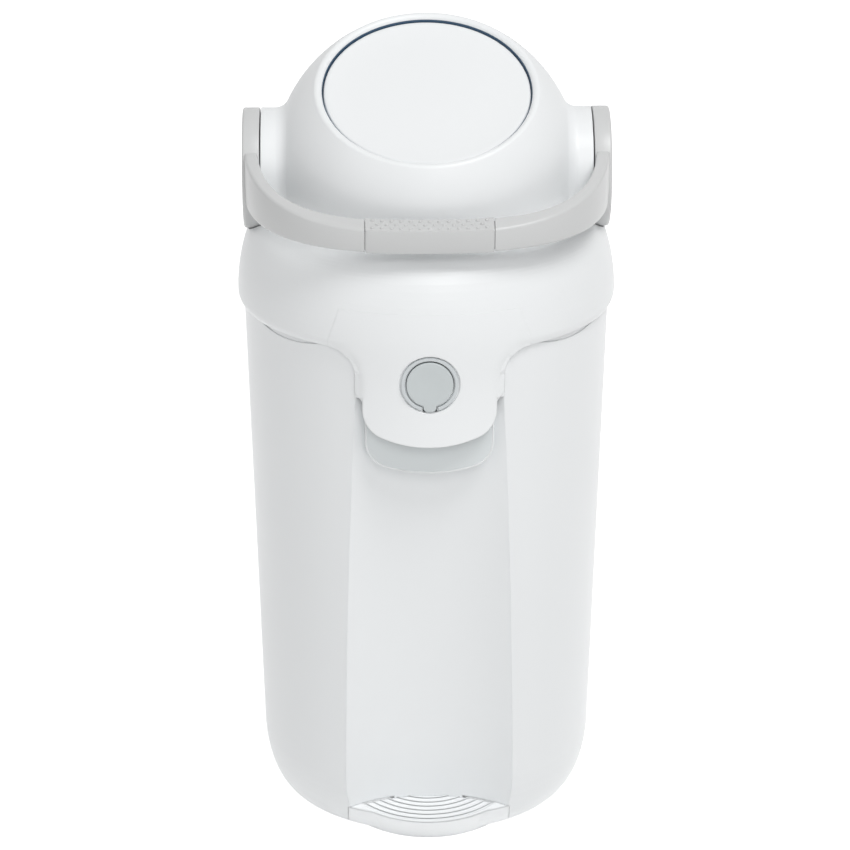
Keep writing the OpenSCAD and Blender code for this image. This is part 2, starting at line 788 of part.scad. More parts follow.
module drum_chute() {
    flange_t = 3;
    color(pale_grey) difference() {
        union() {
            translate([0, 0, chute_z]) cylinder(r = chute_out_r, h = seal_z - chute_z);
            translate([0, 0, chute_z]) cylinder(r = flange_r, h = flange_t);
        }
        translate([0, 0, chute_z - 1]) cylinder(r = chute_in_r, h = seal_z - chute_z - 2);
        translate([0, 0, chute_z - 1]) cylinder(r = chute_in_r - chute_lip, h = far);
        post_spots() translate([0, 0, chute_z - 1]) cylinder(r = 2, h = flange_t + 2);
        mirror_pair() plate_seat();
    }
}

module drum_seal() {
    color(rubber_grey) difference() {
        translate([0, 0, seal_z]) cylinder(r = chute_out_r, h = 4);
        at_pivot() sphere(r = drum_r + run_gap);
    }
}

module lid_gasket() {
    low = body_h - ring_sink + run_gap;
    in_r = chute_in_r - 1.5;
    color(rubber_grey) difference() {
        translate([0, 0, low]) cylinder(r = in_r + gasket_w, h = chute_z - low);
        translate([0, 0, low - 1]) cylinder(r = in_r, h = chute_z - low + 2);
    }
}

module chute_screws() {
    color(steel) post_spots() {
        translate([0, 0, chute_z - 2]) cylinder(r = 3.6, h = 2);
        translate([0, 0, chute_z - 1]) cylinder(r = 1.6, h = 16);
    }
}

// A bearing plate on the +X side: an eye on the spindle and a foot that hangs into the lid.
module bearing_plate() {
    color(steel) difference() {
        translate([plate_x, 0, pivot_z]) rotate([90, 0, 90]) linear_extrude(height = plate_t) {
            circle(r = plate_eye_r);
            translate([-plate_half_w, -plate_drop]) square([2 * plate_half_w, plate_drop]);
        }
        at_pivot() rod_x(spindle_r + bush_t, inside_x, far, 0, 0);
        plate_screw_spots() rod_x(2, inside_x, far, 0, 0);
    }
}

module bearing_plate_left() { mirror([1, 0, 0]) bearing_plate(); }
module bearing_plate_right() { bearing_plate(); }

module plate_screws() {
    color(steel) mirror_pair() plate_screw_spots() {
        rod_x(3.4, plate_x - 1.6, plate_x, 0, 0);
        rod_x(1.6, plate_x, plate_x + 9, 0, 0);
    }
}

// A bush on the +X side: its flange lies in the hub's recess.
module bush() {
    x0 = plate_x - bush_flange_t;
    color(pale_grey) at_pivot() difference() {
        union() {
            rod_x(spindle_r + bush_t, x0, plate_x + plate_t, 0, 0);
            rod_x(bush_flange_r, x0, plate_x, 0, 0);
        }
        rod_x(spindle_r + pin_gap, inside_x, far, 0, 0);
    }
}

module bush_left() { mirror([1, 0, 0]) bush(); }
module bush_right() { bush(); }

// ---------------------------------------------------------------- button and latch

module button_bezel() {
    color(pale_grey) difference() {
        rod_y(bezel_r, -tongue_face_r - bezel_proud, -tongue_face_r + bezel_sink, 0, button_z);
        rod_y(button_r + 0.6, -far, 0, 0, button_z);
        translate([-tab_half_w - 0.6, -far, button_z - bezel_r - 1]) cube([2 * tab_half_w + 1.2, far, bezel_r]);
    }
}

// A cup behind the tongue that guides the button, with a slot for the button's stem.
module button_housing() {
    back = tongue_face_r - housing_depth;
    color(pale_grey) difference() {
        rod_y(housing_r, -housing_y, -back, 0, button_z);
        rod_y(button_r + run_gap, -far, -back - 2, 0, button_z);
        translate([-5, -far, latch_z + latch_arm - 7]) cube([10, far, 12]);
        translate([-latch_half_w - 1, -far, button_z - far]) cube([2 * latch_half_w + 2, far, far - 10]);
    }
}

module button_spring() {
    seat = tongue_face_r - housing_depth + 2;
    color(steel) translate([0, -button_face_y + button_face_t, button_z + 4]) rotate([-90, 0, 0])
        difference() {
            cylinder(r = 5, h = button_face_y - button_face_t - seat);
            translate([0, 0, -1]) cylinder(r = 3.6, h = far);
        }
}

module push_button() {
    stem_z = latch_z + latch_arm;
    nose = 2;
    nose_y = latch_y + latch_t / 2 + run_gap + nose;
    color(grey) {
        rod_y(button_r, -button_face_y, -button_face_y + button_face_t, 0, button_z);
        translate([-tab_half_w, -button_face_y, button_z - bezel_r + 0.2]) cube([2 * tab_half_w, button_face_t, 8]);
        translate([-4, -button_face_y + 1, stem_z - nose]) cube([8, button_face_y - 1 - nose_y, 2 * nose]);
        rod_x(nose, -4, 4, -nose_y, stem_z);
    }
}

module latch_pin() {
    end_x = latch_half_w + run_gap + 3;
    color(steel) rod_x(latch_pin_r, -end_x, end_x, -latch_y, latch_z);
}

// The latch: a rocker on its pin, with a pad under the button's stem and a hooked lower end.
module latch_hook() {
    front = latch_y + latch_t / 2;
    color(grey) difference() {
        union() {
            translate([-latch_half_w, -front, latch_z - latch_arm]) cube([2 * latch_half_w, latch_t, 2 * latch_arm + 3]);
            rod_x(latch_pin_r + 2, -latch_half_w, latch_half_w, -latch_y, latch_z);
            translate([-latch_half_w, -front, latch_z - latch_arm - 4])
                cube([2 * latch_half_w, front - keeper_y - run_gap, 4.5]);
        }
        rod_x(latch_pin_r + pin_gap, -far, far, -latch_y, latch_z);
    }
}

// ---------------------------------------------------------------- drum

// Height of the mouth's round above the drum's centre, along the bore.
function nose_c() = sqrt(pow(drum_r - nose_r + blend, 2) - pow(bore_r + nose_r, 2));
function mouth_z() = nose_c() - 4;
function mouth_out_r() = bore_r + 3 * nose_r;

// The drum's own frame: Z along the bore, X along the spindles.
module in_drum() {
    at_pivot() rotate([bore_tilt, 0, 0]) children();
}

// The bore with its two rounded mouths.
module bore_cut() {
    cx = bore_r + nose_r;
    cz = nose_c();
    rotate_extrude() {
        translate([0, -cz]) square([bore_r, 2 * cz]);
        for (s = [-1, 1]) difference() {
            polygon([[0, s * cz], [cx, s * cz], [1.3 * cx, s * 1.3 * cz], [1.3 * cx, s * far], [0, s * far]]);
            translate([cx, s * cz]) circle(r = nose_r);
        }
    }
}

// One half of the drum's casing: s = 1 is the front half and s = -1 the rear half.
module drum_half(s) {
    color(white) in_drum() difference() {
        intersection() {
            drum_form(0, hub_reach);
            translate([-far / 2, -far / 2, s > 0 ? 0 : -far]) cube([far, far, far]);
        }
        difference() {
            drum_form(-drum_wall, hub_reach - hub_face_t);
            for (t = [-1, 1]) translate([0, 0, t > 0 ? mouth_z() : -far]) cylinder(r = mouth_out_r(), h = far - mouth_z());
        }
        bore_cut();
        mirror_pair() {
            rod_x(recess_r, hub_reach - recess_d, far, 0, 0);
            translate([inside_x, 0, 0]) rotate([bore_tilt, 0, 0]) spindle_square(fit_gap, far / 4);
        }
    }
}

module spindle_square(g, l) {
    translate([0, -spindle_sq / 2 - g, -spindle_sq / 2 - g]) cube([l, spindle_sq + 2 * g, spindle_sq + 2 * g]);
}

module drum_front_shell() { drum_half(1); }
module drum_rear_shell() { drum_half(-1); }

module bore_sleeve() {
    color(white) in_drum() difference() {
        cylinder(r = bore_r + sleeve_t, h = 2 * mouth_z(), center = true);
        cylinder(r = bore_r, h = 3 * mouth_z(), center = true);
    }
}

// The spindle on the +X side: flange inside the hub, square, round journal, square in the handle.
module spindle() {
    x_in = hub_reach - hub_face_t;
    x_j = hub_reach - recess_d;
    color(steel) at_pivot() difference() {
        union() {
            rod_x(spindle_flange_r, x_in - 3, x_in, 0, 0);
            rod_x(spindle_r, x_j, disc_x, 0, 0);
            rotate([bore_tilt * 2, 0, 0]) translate([x_in - 1, 0, 0]) spindle_square(0, disc_x - x_in + arm_t - 4.5);
        }
        rod_x(2.4, x_j - 4, far, 0, 0);
    }
}

module spindle_left() { mirror([1, 0, 0]) spindle(); }
module spindle_right() { spindle(); }

// ---------------------------------------------------------------- handle

module in_handle() {
    at_pivot() rotate([handle_droop, 0, 0]) children();
}

// Half of an arched outline: straight arm, corner arc and front arc, from (half_w, 0) to (0, -reach).
function arch_side(half_w, reach, corner) =
    let (
        rise = reach - arm_straight,
        cx = half_w - corner,
        front = (pow(corner, 2) - cx * cx - rise * rise) / (2 * (corner - rise)),
        fy = front - reach,
        a = atan2(-arm_straight - fy, cx)
    )
    concat([[half_w, 0]], arc([cx, -arm_straight], corner, 0, a, 14), arc([0, fy], front, a, -90, 10));

function arch_plan(half_w, reach, corner) =
    let (right = arch_side(half_w, reach, corner))
    concat(right, [for (i = [len(right) - 2 : -1 : 0]) [-right[i][0], right[i][1]]]);

// Half height of the handle, g inside its faces, at distance f in front of the drum's axis.
function handle_h(f) =
    let (t = min(1, max(0, (f - 30) / 108)))
    grip_half_h + (arm_half_h - grip_half_h) * (0.5 + 0.5 * cos(180 * t));

// The handle's U, g inside its outer, upper and lower faces.
module bow_form(g) {
    steps = [for (f = [0 : 12 : 168]) f];
    intersection() {
        translate([0, 0, -50]) linear_extrude(height = 100) difference() {
            polygon(arch_plan(handle_half_w - g, handle_reach - g, handle_corner_r - g));
            polygon(concat(
                [[handle_half_w - arm_t + g, 1]],
                arch_plan(handle_half_w - arm_t + g, handle_reach - grip_t + g, handle_corner_r - arm_t - 6 + g),
                [[-handle_half_w + arm_t - g, 1]]
            ));
        }
        rotate([90, 0, 90]) linear_extrude(height = far, center = true) polygon(concat(
            [for (f = steps) [-f, handle_h(f) - g]],
            [for (i = [len(steps) - 1 : -1 : 0]) [-steps[i], -handle_h(steps[i]) + g]]
        ));
    }
}

module grip_zone(l) {
    translate([-l, -far, -far / 2]) cube([2 * l, far - 100, far]);
}

module handle_bow() {
    color(grey) in_handle() difference() {
        union() {
            difference() {
                bow_form(0);
                grip_zone(grip_half_l);
            }
            intersection() {
                bow_form(grip_seat);
                grip_zone(grip_half_l + 1);
            }
            mirror_pair() {
                rod_x(hub_r, disc_x, handle_half_w - disc_bevel, 0, 0);
                translate([handle_half_w - disc_bevel, 0, 0]) rotate([0, 90, 0])
                    cylinder(r1 = hub_r, r2 = hub_r - disc_bevel, h = disc_bevel);
            }
        }
        mirror_pair() {
            rotate([bore_tilt * 2 - handle_droop, 0, 0]) translate([disc_x - 1, 0, 0]) spindle_square(fit_gap, arm_t - 4);
            rod_x(cap_r + fit_gap, handle_half_w - 5, far, 0, 0);
            rod_x(hub_r + run_gap, hub_r, disc_x, 0, 0);
        }
    }
}

module handle_grip() {
    color(grey) in_handle() difference() {
        intersection() {
            bow_form(0);
            grip_zone(grip_half_l - fit_gap);
        }
        bow_form(grip_seat);
    }
}

module handle_screws() {
    x1 = handle_half_w - 5;
    color(steel) at_pivot() mirror_pair() {
        rod_x(7, x1, x1 + 2.6, 0, 0);
        rod_x(2.4, hub_reach - 5, x1, 0, 0);
    }
}

module handle_caps() {
    x1 = handle_half_w;
    color(grey) at_pivot() mirror_pair() difference() {
        rod_x(cap_r, x1 - 4.8, x1 - 0.6, 0, 0);
        rod_x(8, x1 - 5, x1 - 2, 0, 0);
    }
}

// ---------------------------------------------------------------- piston

function piston_top() = nose_c() + nose_r - piston_sink;
function piston_r() = bore_r - piston_gap;

module piston_frame() {
    in_drum() translate([0, 0, piston_top() - piston_t / 2]) children();
}

// One end of the piston: a dished disc with a raised lip and a skirt with a seal's groove.
module piston_face(s) {
    half = piston_t / 2;
    r = piston_r();
    w = piston_wall;
    lip = 9;
    dish = arc([r - lip - 3, half - dish_d + lip], lip, -90, -25, 6);
    color(white) piston_frame() mirror([0, 0, s > 0 ? 0 : 1]) difference() {
        rotate_extrude() polygon(concat(
            [[0, half - dish_d]], dish, [[r - 1.6, half], [r, half - 1.2], [r, 0], [r - w, 0]],
            [[r - w, half - dish_d - w], [0, half - dish_d - w]]
        ));
        seal_ring(r - 1.4, r + 5);
    }
}

module seal_ring(r0, r1) {
    z0 = piston_t / 2 - 14;
    translate([0, 0, z0]) difference() {
        cylinder(r = r1, h = seal_h);
        translate([0, 0, -1]) cylinder(r = r0, h = seal_h + 2);
    }
}

module piston_face_front() { piston_face(1); }
module piston_face_rear() { piston_face(-1); }

module piston_seals() {
    color(rubber_grey) piston_frame() for (s = [0, 1]) mirror([0, 0, s])
        seal_ring(piston_r() - 1.4, bore_r - run_gap);
}

module piston_core() {
    half = piston_t / 2 - dish_d - piston_wall;
    r = piston_r() - piston_wall - fit_gap;
    color(pale_grey) piston_frame() difference() {
        union() {
            cylinder(r = core_hub_r, h = 2 * half, center = true);
            linear_extrude(height = core_rib_h, center = true) {
                difference() {
                    circle(r = r);
                    circle(r = r - piston_wall);
                }
                for (a = [0 : 60 : 120]) rotate(a) square([2 * r - piston_wall, core_rib_t], center = true);
            }
        }
        cylinder(r = core_hub_r - piston_wall, h = piston_t, center = true);
    }
}

bin_body();
foot_step();
rubber_feet();
latch_keeper();
keeper_screws();
hinge_pin();
bag_ring();
lid_collar();
drum_chute();
drum_seal();
lid_gasket();
chute_screws();
bearing_plate_left();
bearing_plate_right();
plate_screws();
bush_left();
bush_right();
button_bezel();
button_housing();
button_spring();
latch_pin();
push_button();
latch_hook();
drum_front_shell();
drum_rear_shell();
bore_sleeve();
spindle_left();
spindle_right();
handle_bow();
handle_grip();
handle_screws();
handle_caps();
piston_core();
piston_face_front();
piston_face_rear();
piston_seals();
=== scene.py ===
# %% [markdown]
# # A nappy bin and its finishes
# The bin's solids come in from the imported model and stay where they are.
# This lesson gives them their finishes. It also makes the pieces whose soft edges, beads and
# curves show most: the handle with its grip, the cup, the tongue, the button and the keeper's rim.

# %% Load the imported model
import math

import bmesh
import bpy
from mathutils import Matrix, Vector


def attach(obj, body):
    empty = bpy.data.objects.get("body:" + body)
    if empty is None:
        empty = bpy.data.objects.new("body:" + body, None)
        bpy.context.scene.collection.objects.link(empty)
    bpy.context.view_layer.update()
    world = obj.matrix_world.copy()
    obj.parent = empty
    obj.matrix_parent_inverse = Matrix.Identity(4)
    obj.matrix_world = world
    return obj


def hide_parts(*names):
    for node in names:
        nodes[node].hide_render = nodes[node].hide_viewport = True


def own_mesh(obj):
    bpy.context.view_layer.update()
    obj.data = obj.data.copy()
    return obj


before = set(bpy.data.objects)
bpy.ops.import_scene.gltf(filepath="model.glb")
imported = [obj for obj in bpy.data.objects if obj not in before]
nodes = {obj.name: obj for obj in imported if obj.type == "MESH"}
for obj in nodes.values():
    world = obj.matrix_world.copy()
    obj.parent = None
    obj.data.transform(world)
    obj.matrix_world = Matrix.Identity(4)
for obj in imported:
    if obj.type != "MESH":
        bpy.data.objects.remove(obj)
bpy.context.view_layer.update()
print("pieces in the model:", len(nodes))

# %% [markdown]
# ## The camera
# The bin is seen from above the front, from three metres away.
# A short lens close by would make the top look large and the foot small. A long lens from
# further away keeps the tall sides nearly parallel.

# %% Camera
LOOK_AT = Vector((0.0, 0.0, 0.3241))
DISTANCE = 3.0
ELEVATION = math.radians(21.09)
AZIMUTH = math.radians(-1.1)
SENSOR = 36.0
FOCAL_PIXELS = 3555.0
FRAME_PIXELS = 850.0
SHIFT_ACROSS = -0.0014
SEES_AS_FAR_AS = 20.0

away = Vector((
    math.sin(AZIMUTH) * math.cos(ELEVATION),
    -math.cos(AZIMUTH) * math.cos(ELEVATION),
    math.sin(ELEVATION),
))
lens = bpy.data.cameras.new("camera")
lens.sensor_width = SENSOR
lens.lens = FOCAL_PIXELS / FRAME_PIXELS * SENSOR
lens.shift_x = SHIFT_ACROSS
lens.clip_end = SEES_AS_FAR_AS
camera = bpy.data.objects.new("camera", lens)
bpy.context.scene.collection.objects.link(camera)
camera.location = LOOK_AT + away * DISTANCE
camera.rotation_euler = (-away).to_track_quat("-Z", "Y").to_euler()
bpy.context.scene.camera = camera
bpy.context.scene.view_settings.view_transform = "Standard"
print("camera at", [round(v, 3) for v in camera.location])

# %% [markdown]
# ## Colours and nodes
# Colours are written as screen colours, and one function turns them to linear light.
# One small function adds a node with its settings and its links, which keeps each material short.

# %% Helpers for materials
def linear(code):
    parts = [int(code[i:i + 2], 16) / 255 for i in (1, 3, 5)]
    return [c / 12.92 if c <= 0.04045 else ((c + 0.055) / 1.055) ** 2.4 for c in parts] + [1.0]


def add(tree, kind, links=None, **settings):
    node = tree.nodes.new(kind)
    for name, value in settings.items():
        if hasattr(node, name):
            setattr(node, name, value)
        else:
            node.inputs[name.replace("_", " ")].default_value = value
    for name, source in (links or {}).items():
        tree.links.new(source, node.inputs[name])
    return node


print("mid grey in linear light:", [round(c, 3) for c in linear("#808080")])

# %% [markdown]
# ## A moulded surface
# A real mould is blasted with fine grit, so the plastic comes out satin, with grain about a
# tenth of a millimetre wide. That is too fine to show here, so it is drawn about half a
# millimetre wide. Broad, faint clouds change the gloss a little, as they do on a real moulding.
# The mould also rounds each edge. The edge could be cut round in the mesh, but the solids stay
# as they are, so a bevel in the material bends the light there.

# %% Finish of a moulded piece
MM = 0.001
GRAIN_WIDE, GRAIN_DEEP = 0.6, 0.02
GRAIN_DETAIL, GRAIN_ROUGHNESS, GRAIN_STRENGTH = 3.0, 0.55, 0.35
CLOUD_SCALE, CLOUD_DETAIL, GLOSS_CHANGE = 14.0, 2.0, 0.03
EDGE_SAMPLES = 4
DEFAULT_IOR = 1.5


def bin_finish(name, colour, roughness, edge, grain=GRAIN_WIDE, deep=GRAIN_DEEP, ior=DEFAULT_IOR,
               metallic=0.0):
    material = bpy.data.materials.new(name)
    material.use_nodes = True
    tree = material.node_tree
    tree.nodes.clear()
    place = add(tree, "ShaderNodeTexCoord")
    grit = add(tree, "ShaderNodeTexNoise", {"Vector": place.outputs["Object"]},
               Scale=1 / (grain * MM), Detail=GRAIN_DETAIL, Roughness=GRAIN_ROUGHNESS)
    cloud = add(tree, "ShaderNodeTexNoise", {"Vector": place.outputs["Object"]},
                Scale=CLOUD_SCALE, Detail=CLOUD_DETAIL)
    gloss = add(tree, "ShaderNodeMapRange", {"Value": cloud.outputs["Fac"]},
                To_Min=roughness - GLOSS_CHANGE, To_Max=roughness + GLOSS_CHANGE)
    soft = add(tree, "ShaderNodeBevel", samples=EDGE_SAMPLES, Radius=edge * MM)
    bump = add(tree, "ShaderNodeBump", {"Height": grit.outputs["Fac"], "Normal": soft.outputs["Normal"]},
               Strength=GRAIN_STRENGTH, Distance=deep * MM)
    shader = add(tree, "ShaderNodeBsdfPrincipled",
                 {"Roughness": gloss.outputs["Result"], "Normal": bump.outputs["Normal"]},
                 Base_Color=linear(colour), IOR=ior, Metallic=metallic)
    add(tree, "ShaderNodeOutputMaterial", {"Surface": shader.outputs["BSDF"]})
    return material


# %% [markdown]
# ## The plastics and the metal
# The bin is polypropylene, which is tough, cheap and easy to wipe. The handle and the button are
# ABS, which is harder and a little glossier, and the grip is a soft elastomer moulded over it.
# Each one could share a single material with its colour changed, but their gloss, their grain
# and the rounding of their edges differ too, so each gets its own.

# %% Materials
PP_IOR, ABS_IOR, TPE_IOR, RUBBER_IOR = 1.49, 1.53, 1.50, 1.52
# White polypropylene: a satin shell whose shine spreads wide over the curves.
white_pp = bin_finish("white_polypropylene", "#EEF0F1", roughness=0.36, edge=1.2, ior=PP_IOR)
# The step's polypropylene: the same plastic, painted a shade brighter as painted light on the tread, with
# ridges so round that each one fades into the next.
step_pp_painted_lighter = bin_finish("step_polypropylene_painted_lighter", "#F7F9FA", roughness=0.40, edge=3.2, ior=PP_IOR)
# Blue polypropylene, coloured right through: its dark blue is partly the plastic's own blue and partly
# painted shade, which makes the bore look deep behind the cup.
blue_and_shade_pp = bin_finish("sleeve_blue_and_painted_shade", "#2E4A63", roughness=0.35, edge=0.5, ior=PP_IOR)
# Grey ABS: tighter edges and a slightly sharper shine set the handle off from the white shell.
grey_abs = bin_finish("grey_abs", "#CDCECE", roughness=0.34, edge=0.6, ior=ABS_IOR)
# Grip elastomer: duller than the strap, with deeper grain.
grip_tpe = bin_finish("grip_elastomer", "#CBCCCC", roughness=0.52,
                      edge=0.3, grain=0.5, deep=0.03, ior=TPE_IOR)
# Button ABS: a cool grey cap, as glossy as the handle.
button_abs = bin_finish("button_abs", "#C5CBCC", roughness=0.34, edge=0.5, grain=0.5, ior=ABS_IOR)
# Keeper polypropylene: a pale grey that stays in the shade of the tongue.
keeper_pp = bin_finish("keeper_polypropylene", "#DADFE0", roughness=0.40, edge=0.8, ior=PP_IOR)
# Ring ABS: a shade lighter than the button, so the button stands out from its ring.
ring_abs = bin_finish("ring_abs", "#CDD2D4", roughness=0.36, edge=0.4, grain=0.5, ior=ABS_IOR)
# Inner polypropylene: a plainer and duller grey for what is seen only when the lid is open.
inner_pp = bin_finish("inner_polypropylene", "#CFD3D5", roughness=0.45, edge=0.8, ior=PP_IOR)
# Dark ABS: its dark grey is painted shade, which turns the gaps round the button into clear dark lines.
gap_shade_abs = bin_finish("gap_shade_abs", "#4A4E50", roughness=0.50, edge=0.4, grain=0.5, ior=ABS_IOR)
# Moulded rubber: almost no shine, for the feet and the seals.
seal_rubber = bin_finish("seal_rubber", "#73787A", roughness=0.80,
                         edge=0.3, grain=0.4, deep=0.03, ior=RUBBER_IOR)
# Zinc-plated steel: a soft metal shine on the screws, pins, plates and the spring.
steel = bin_finish("zinc_plated_steel", "#B9BDC0", roughness=0.32,
                   edge=0.3, grain=0.4, deep=0.01, metallic=1.0)
print("finishes:", len(bpy.data.materials))

# %% [markdown]
# ## Dressing the solids
# Each solid of the bin is moulded or stamped from one stuff, so one list per finish is enough.
# The finish is put on the solid's own mesh, which leaves its shape alone.

# %% What each solid wears
WEARS = {
    white_pp: ["bin_body", "bag_ring", "lid_collar", "drum_front_shell", "drum_rear_shell",
               "piston_face_front", "piston_face_rear"],
    step_pp_painted_lighter: ["foot_step"],
    blue_and_shade_pp: ["bore_sleeve", "piston_seals"],
    grey_abs: ["handle_bow", "handle_caps"],
    grip_tpe: ["handle_grip"],
    button_abs: ["push_button", "latch_hook"],
    keeper_pp: ["latch_keeper"],
    ring_abs: ["button_bezel"],
    inner_pp: ["drum_chute", "bush_left", "bush_right", "piston_core"],
    gap_shade_abs: ["button_housing"],
    seal_rubber: ["rubber_feet", "drum_seal", "lid_gasket"],
    steel: ["keeper_screws", "hinge_pin", "chute_screws", "bearing_plate_left", "bearing_plate_right",
            "plate_screws", "button_spring", "latch_pin", "spindle_left", "spindle_right", "handle_screws"],
}
for material, wearers in WEARS.items():
    for name in wearers:
        mesh = nodes[name].data
        mesh.materials.clear()
        mesh.materials.append(material)
print("finished nodes:", sum(len(w) for w in WEARS.values()))

# %% [markdown]
# ## Finishing a new piece
# The pieces are drawn in millimetres, near their own axes. Every one ends the same way: it is
# put in its place in metres, points that meet are merged, and its normals are made to point
# outwards. It is shaded smooth with its true corners kept, and it rides on the body that
# carries it.

# %% Helper for pieces
MERGE_MM = 0.005
TRUE_CORNER = math.radians(40)
TO_METRES = Matrix.Scale(MM, 4)


def bin_piece(name, form, place, material, body, replaced=()):
    bmesh.ops.transform(form, matrix=place, verts=form.verts)
    bmesh.ops.remove_doubles(form, verts=form.verts, dist=MERGE_MM * MM)
    bmesh.ops.recalc_face_normals(form, faces=form.faces)
    mesh = bpy.data.meshes.new(name)
    form.to_mesh(mesh)
    form.free()
    mesh.shade_smooth()
    mesh.set_sharp_from_angle(angle=TRUE_CORNER)
    mesh.materials.append(material)
    made = bpy.data.objects.new(name, mesh)
    bpy.context.scene.collection.objects.link(made)
    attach(made, body)
    if replaced:
        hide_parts(*replaced)
    print(name, len(mesh.polygons), "faces")
    return made


# %% [markdown]
# ## The handle's plan
# The real handle is one U-shaped strap moulded with two side discs. Seen from above it runs
# straight from each disc, turns a wide corner and crosses the front in a flat curve.
# A curve object could follow that line, but the strap is thicker at the front than at the sides,
# so its outside and its inside are each drawn as a line of their own. Both are superellipses,
# which are ellipses whose powers are above 2, so that their corners are squarer.

# %% Handle's plan
PIVOT = Vector((0, 0, 0.5515))
DROOP = math.radians(6)
# Half the width, the reach forwards, and the powers at the sides and at the front.
BOW_OUT = (149.75, 155.0, 2.6, 2.8)
BOW_IN = (137.8, 137.6, 3.1, 3.1)
BOW_STEPS = 160
to_handle = Matrix.Translation(PIVOT) @ Matrix.Rotation(DROOP, 4, "X") @ TO_METRES


def bow_y(x, half_width, reach, side_power, front_power):
    return -reach * (1 - (abs(x) / half_width) ** side_power) ** (1 / front_power)


def bow_line(half_width, reach, side_power, front_power):
    turn = [math.pi * i / BOW_STEPS for i in range(BOW_STEPS + 1)]
    return [(math.copysign(half_width * abs(math.cos(t)) ** (2 / side_power), math.cos(t)),
             -reach * math.sin(t) ** (2 / front_power)) for t in turn]


print("strap thickness in the middle of the front:", round(bow_y(0, *BOW_IN) - bow_y(0, *BOW_OUT), 2))

# %% [markdown]
# ## The strap's height
# The real strap is tall at the discs, and low at the grip, where a hand closes round it. Its
# middle line sinks a little on the way. Both change smoothly with the distance in front of the
# pivot, so a short function for each is enough, and every point can ask for its own height.

# %% Strap's height
ARM_HALF_H, GRIP_HALF_H = 22.5, 9.7
ARM_LIFT, GRIP_LIFT = 8.5, 0.6
# The change begins and ends at these distances in front of the pivot.
CHANGE_FROM, CHANGE_TO = 15.0, 152.0
HEIGHT_POWER, LIFT_POWER = 1.4, 1.5


def reached(front, power):
    share = (front - CHANGE_FROM) / (CHANGE_TO - CHANGE_FROM)
    return min(1.0, max(0.0, share)) ** power


def strap_height(front):
    return ARM_HALF_H + (GRIP_HALF_H - ARM_HALF_H) * reached(front, HEIGHT_POWER)


def strap_lift(front):
    return ARM_LIFT + (GRIP_LIFT - ARM_LIFT) * reached(front, LIFT_POWER)


print("half height at the discs and at the grip:", strap_height(CHANGE_FROM), strap_height(CHANGE_TO))

# %% [markdown]
# ## Lines, cuts and rounded edges
# A moulded piece is mostly a flat outline drawn out to a thickness and then rounded.
# These helpers do the four steps: draw a line of points, draw faces out, cut the piece with a
# flat plane, and round the edges that are sharp enough.

# %% Helpers for lines and cuts
CUT_NEAR = 0.001


def chain(form, points, closed=False):
    corners = [form.verts.new(p) for p in points]
    ends = corners[1:] + corners[:1] if closed else corners[1:]
    return corners, [form.edges.new(pair) for pair in zip(corners, ends)]


def drawn_out(form, faces):
    made = bmesh.ops.extrude_face_region(form, geom=faces)["geom"]
    return [part for part in made if isinstance(part, bmesh.types.BMVert)]


def cut(form, place, normal, near=CUT_NEAR, clear=False):
    bmesh.ops.bisect_plane(form, geom=form.verts[:] + form.edges[:] + form.faces[:], dist=near,
                           plane_co=place, plane_no=normal, clear_outer=clear)


def round_edges(form, width, steps, least, keep):
    sharp = [e for e in form.edges if len(e.link_faces) == 2 and keep(e)
             and math.degrees(e.calc_face_angle()) > least]
    bmesh.ops.bevel(form, geom=sharp, offset=width, offset_type="OFFSET", segments=steps, profile=0.5,
                    affect="EDGES", clamp_overlap=True, material=-1)
    print("rounded edges:", len(sharp))


# %% [markdown]
# ## The ribbon
# Strap and grip have the same section: a flat band, slightly crowned outside.
# The two lines of the plan are bridged into a flat ribbon, which is drawn out to a band two
# units high. Cuts across it give rows of points to crown, and then each point is moved to the
# strap's height there. This keeps the section upright all the way round, which a swept section
# would not.

# %% Ribbon
# The cuts are at these shares of the half height, and the crown is in millimetres.
LEVELS = (-0.8, -0.5, 0.0, 0.5, 0.8)
CROWN = 0.9
SAME_SPOT = 3


def spot(v):
    return round(v.co.x, SAME_SPOT), round(v.co.y, SAME_SPOT)


def outwards(x, front):
    half_width, reach, side_power, front_power = BOW_OUT
    across = side_power * (abs(x) / half_width) ** (side_power - 1) / half_width
    ahead = front_power * (max(front, 0.0) / reach) ** (front_power - 1) / reach
    return Vector((math.copysign(across, x), -ahead, 0)).normalized()


def ribbon(form, outside, inside):
    rim, rim_edges = chain(form, [(x, y, -1) for x, y in outside])
    inner_edges = chain(form, [(x, y, -1) for x, y in inside])[1]
    flat = bmesh.ops.bridge_loops(form, edges=rim_edges + inner_edges)["faces"]
    outer = {spot(v) for v in rim}
    bmesh.ops.translate(form, verts=drawn_out(form, flat), vec=(0, 0, 2))
    for level in LEVELS:
        cut(form, (0, 0, level), (0, 0, 1))
    for v in form.verts:
        front, level = -v.co.y, v.co.z
        if spot(v) in outer:
            v.co -= outwards(v.co.x, front) * CROWN * level ** 2
        v.co.z = strap_lift(front) + level * strap_height(front)
    bmesh.ops.recalc_face_normals(form, faces=form.faces)
    print("ribbon points:", len(form.verts))


# %% [markdown]
# ## The strap
# The strap's four long edges are rounded, which is what catches the light along the top.
# Where the grip is moulded over it the real strap is thinner, so its points there are drawn in
# towards the middle of the section, between two close cuts that leave a clean step. Its arms
# end inside the discs, short of the caps.

# %% Strap
STRAP_ROUND, STRAP_STEPS, STRAP_SHARP = 2.2, 5, 40
ARM_ROOT = 1.0
GRIP_HALF = 50.7
SEAM, SEAM_STEP = 0.7, 0.2
UNDER_GRIP = 0.15
ARM_END = 20.0

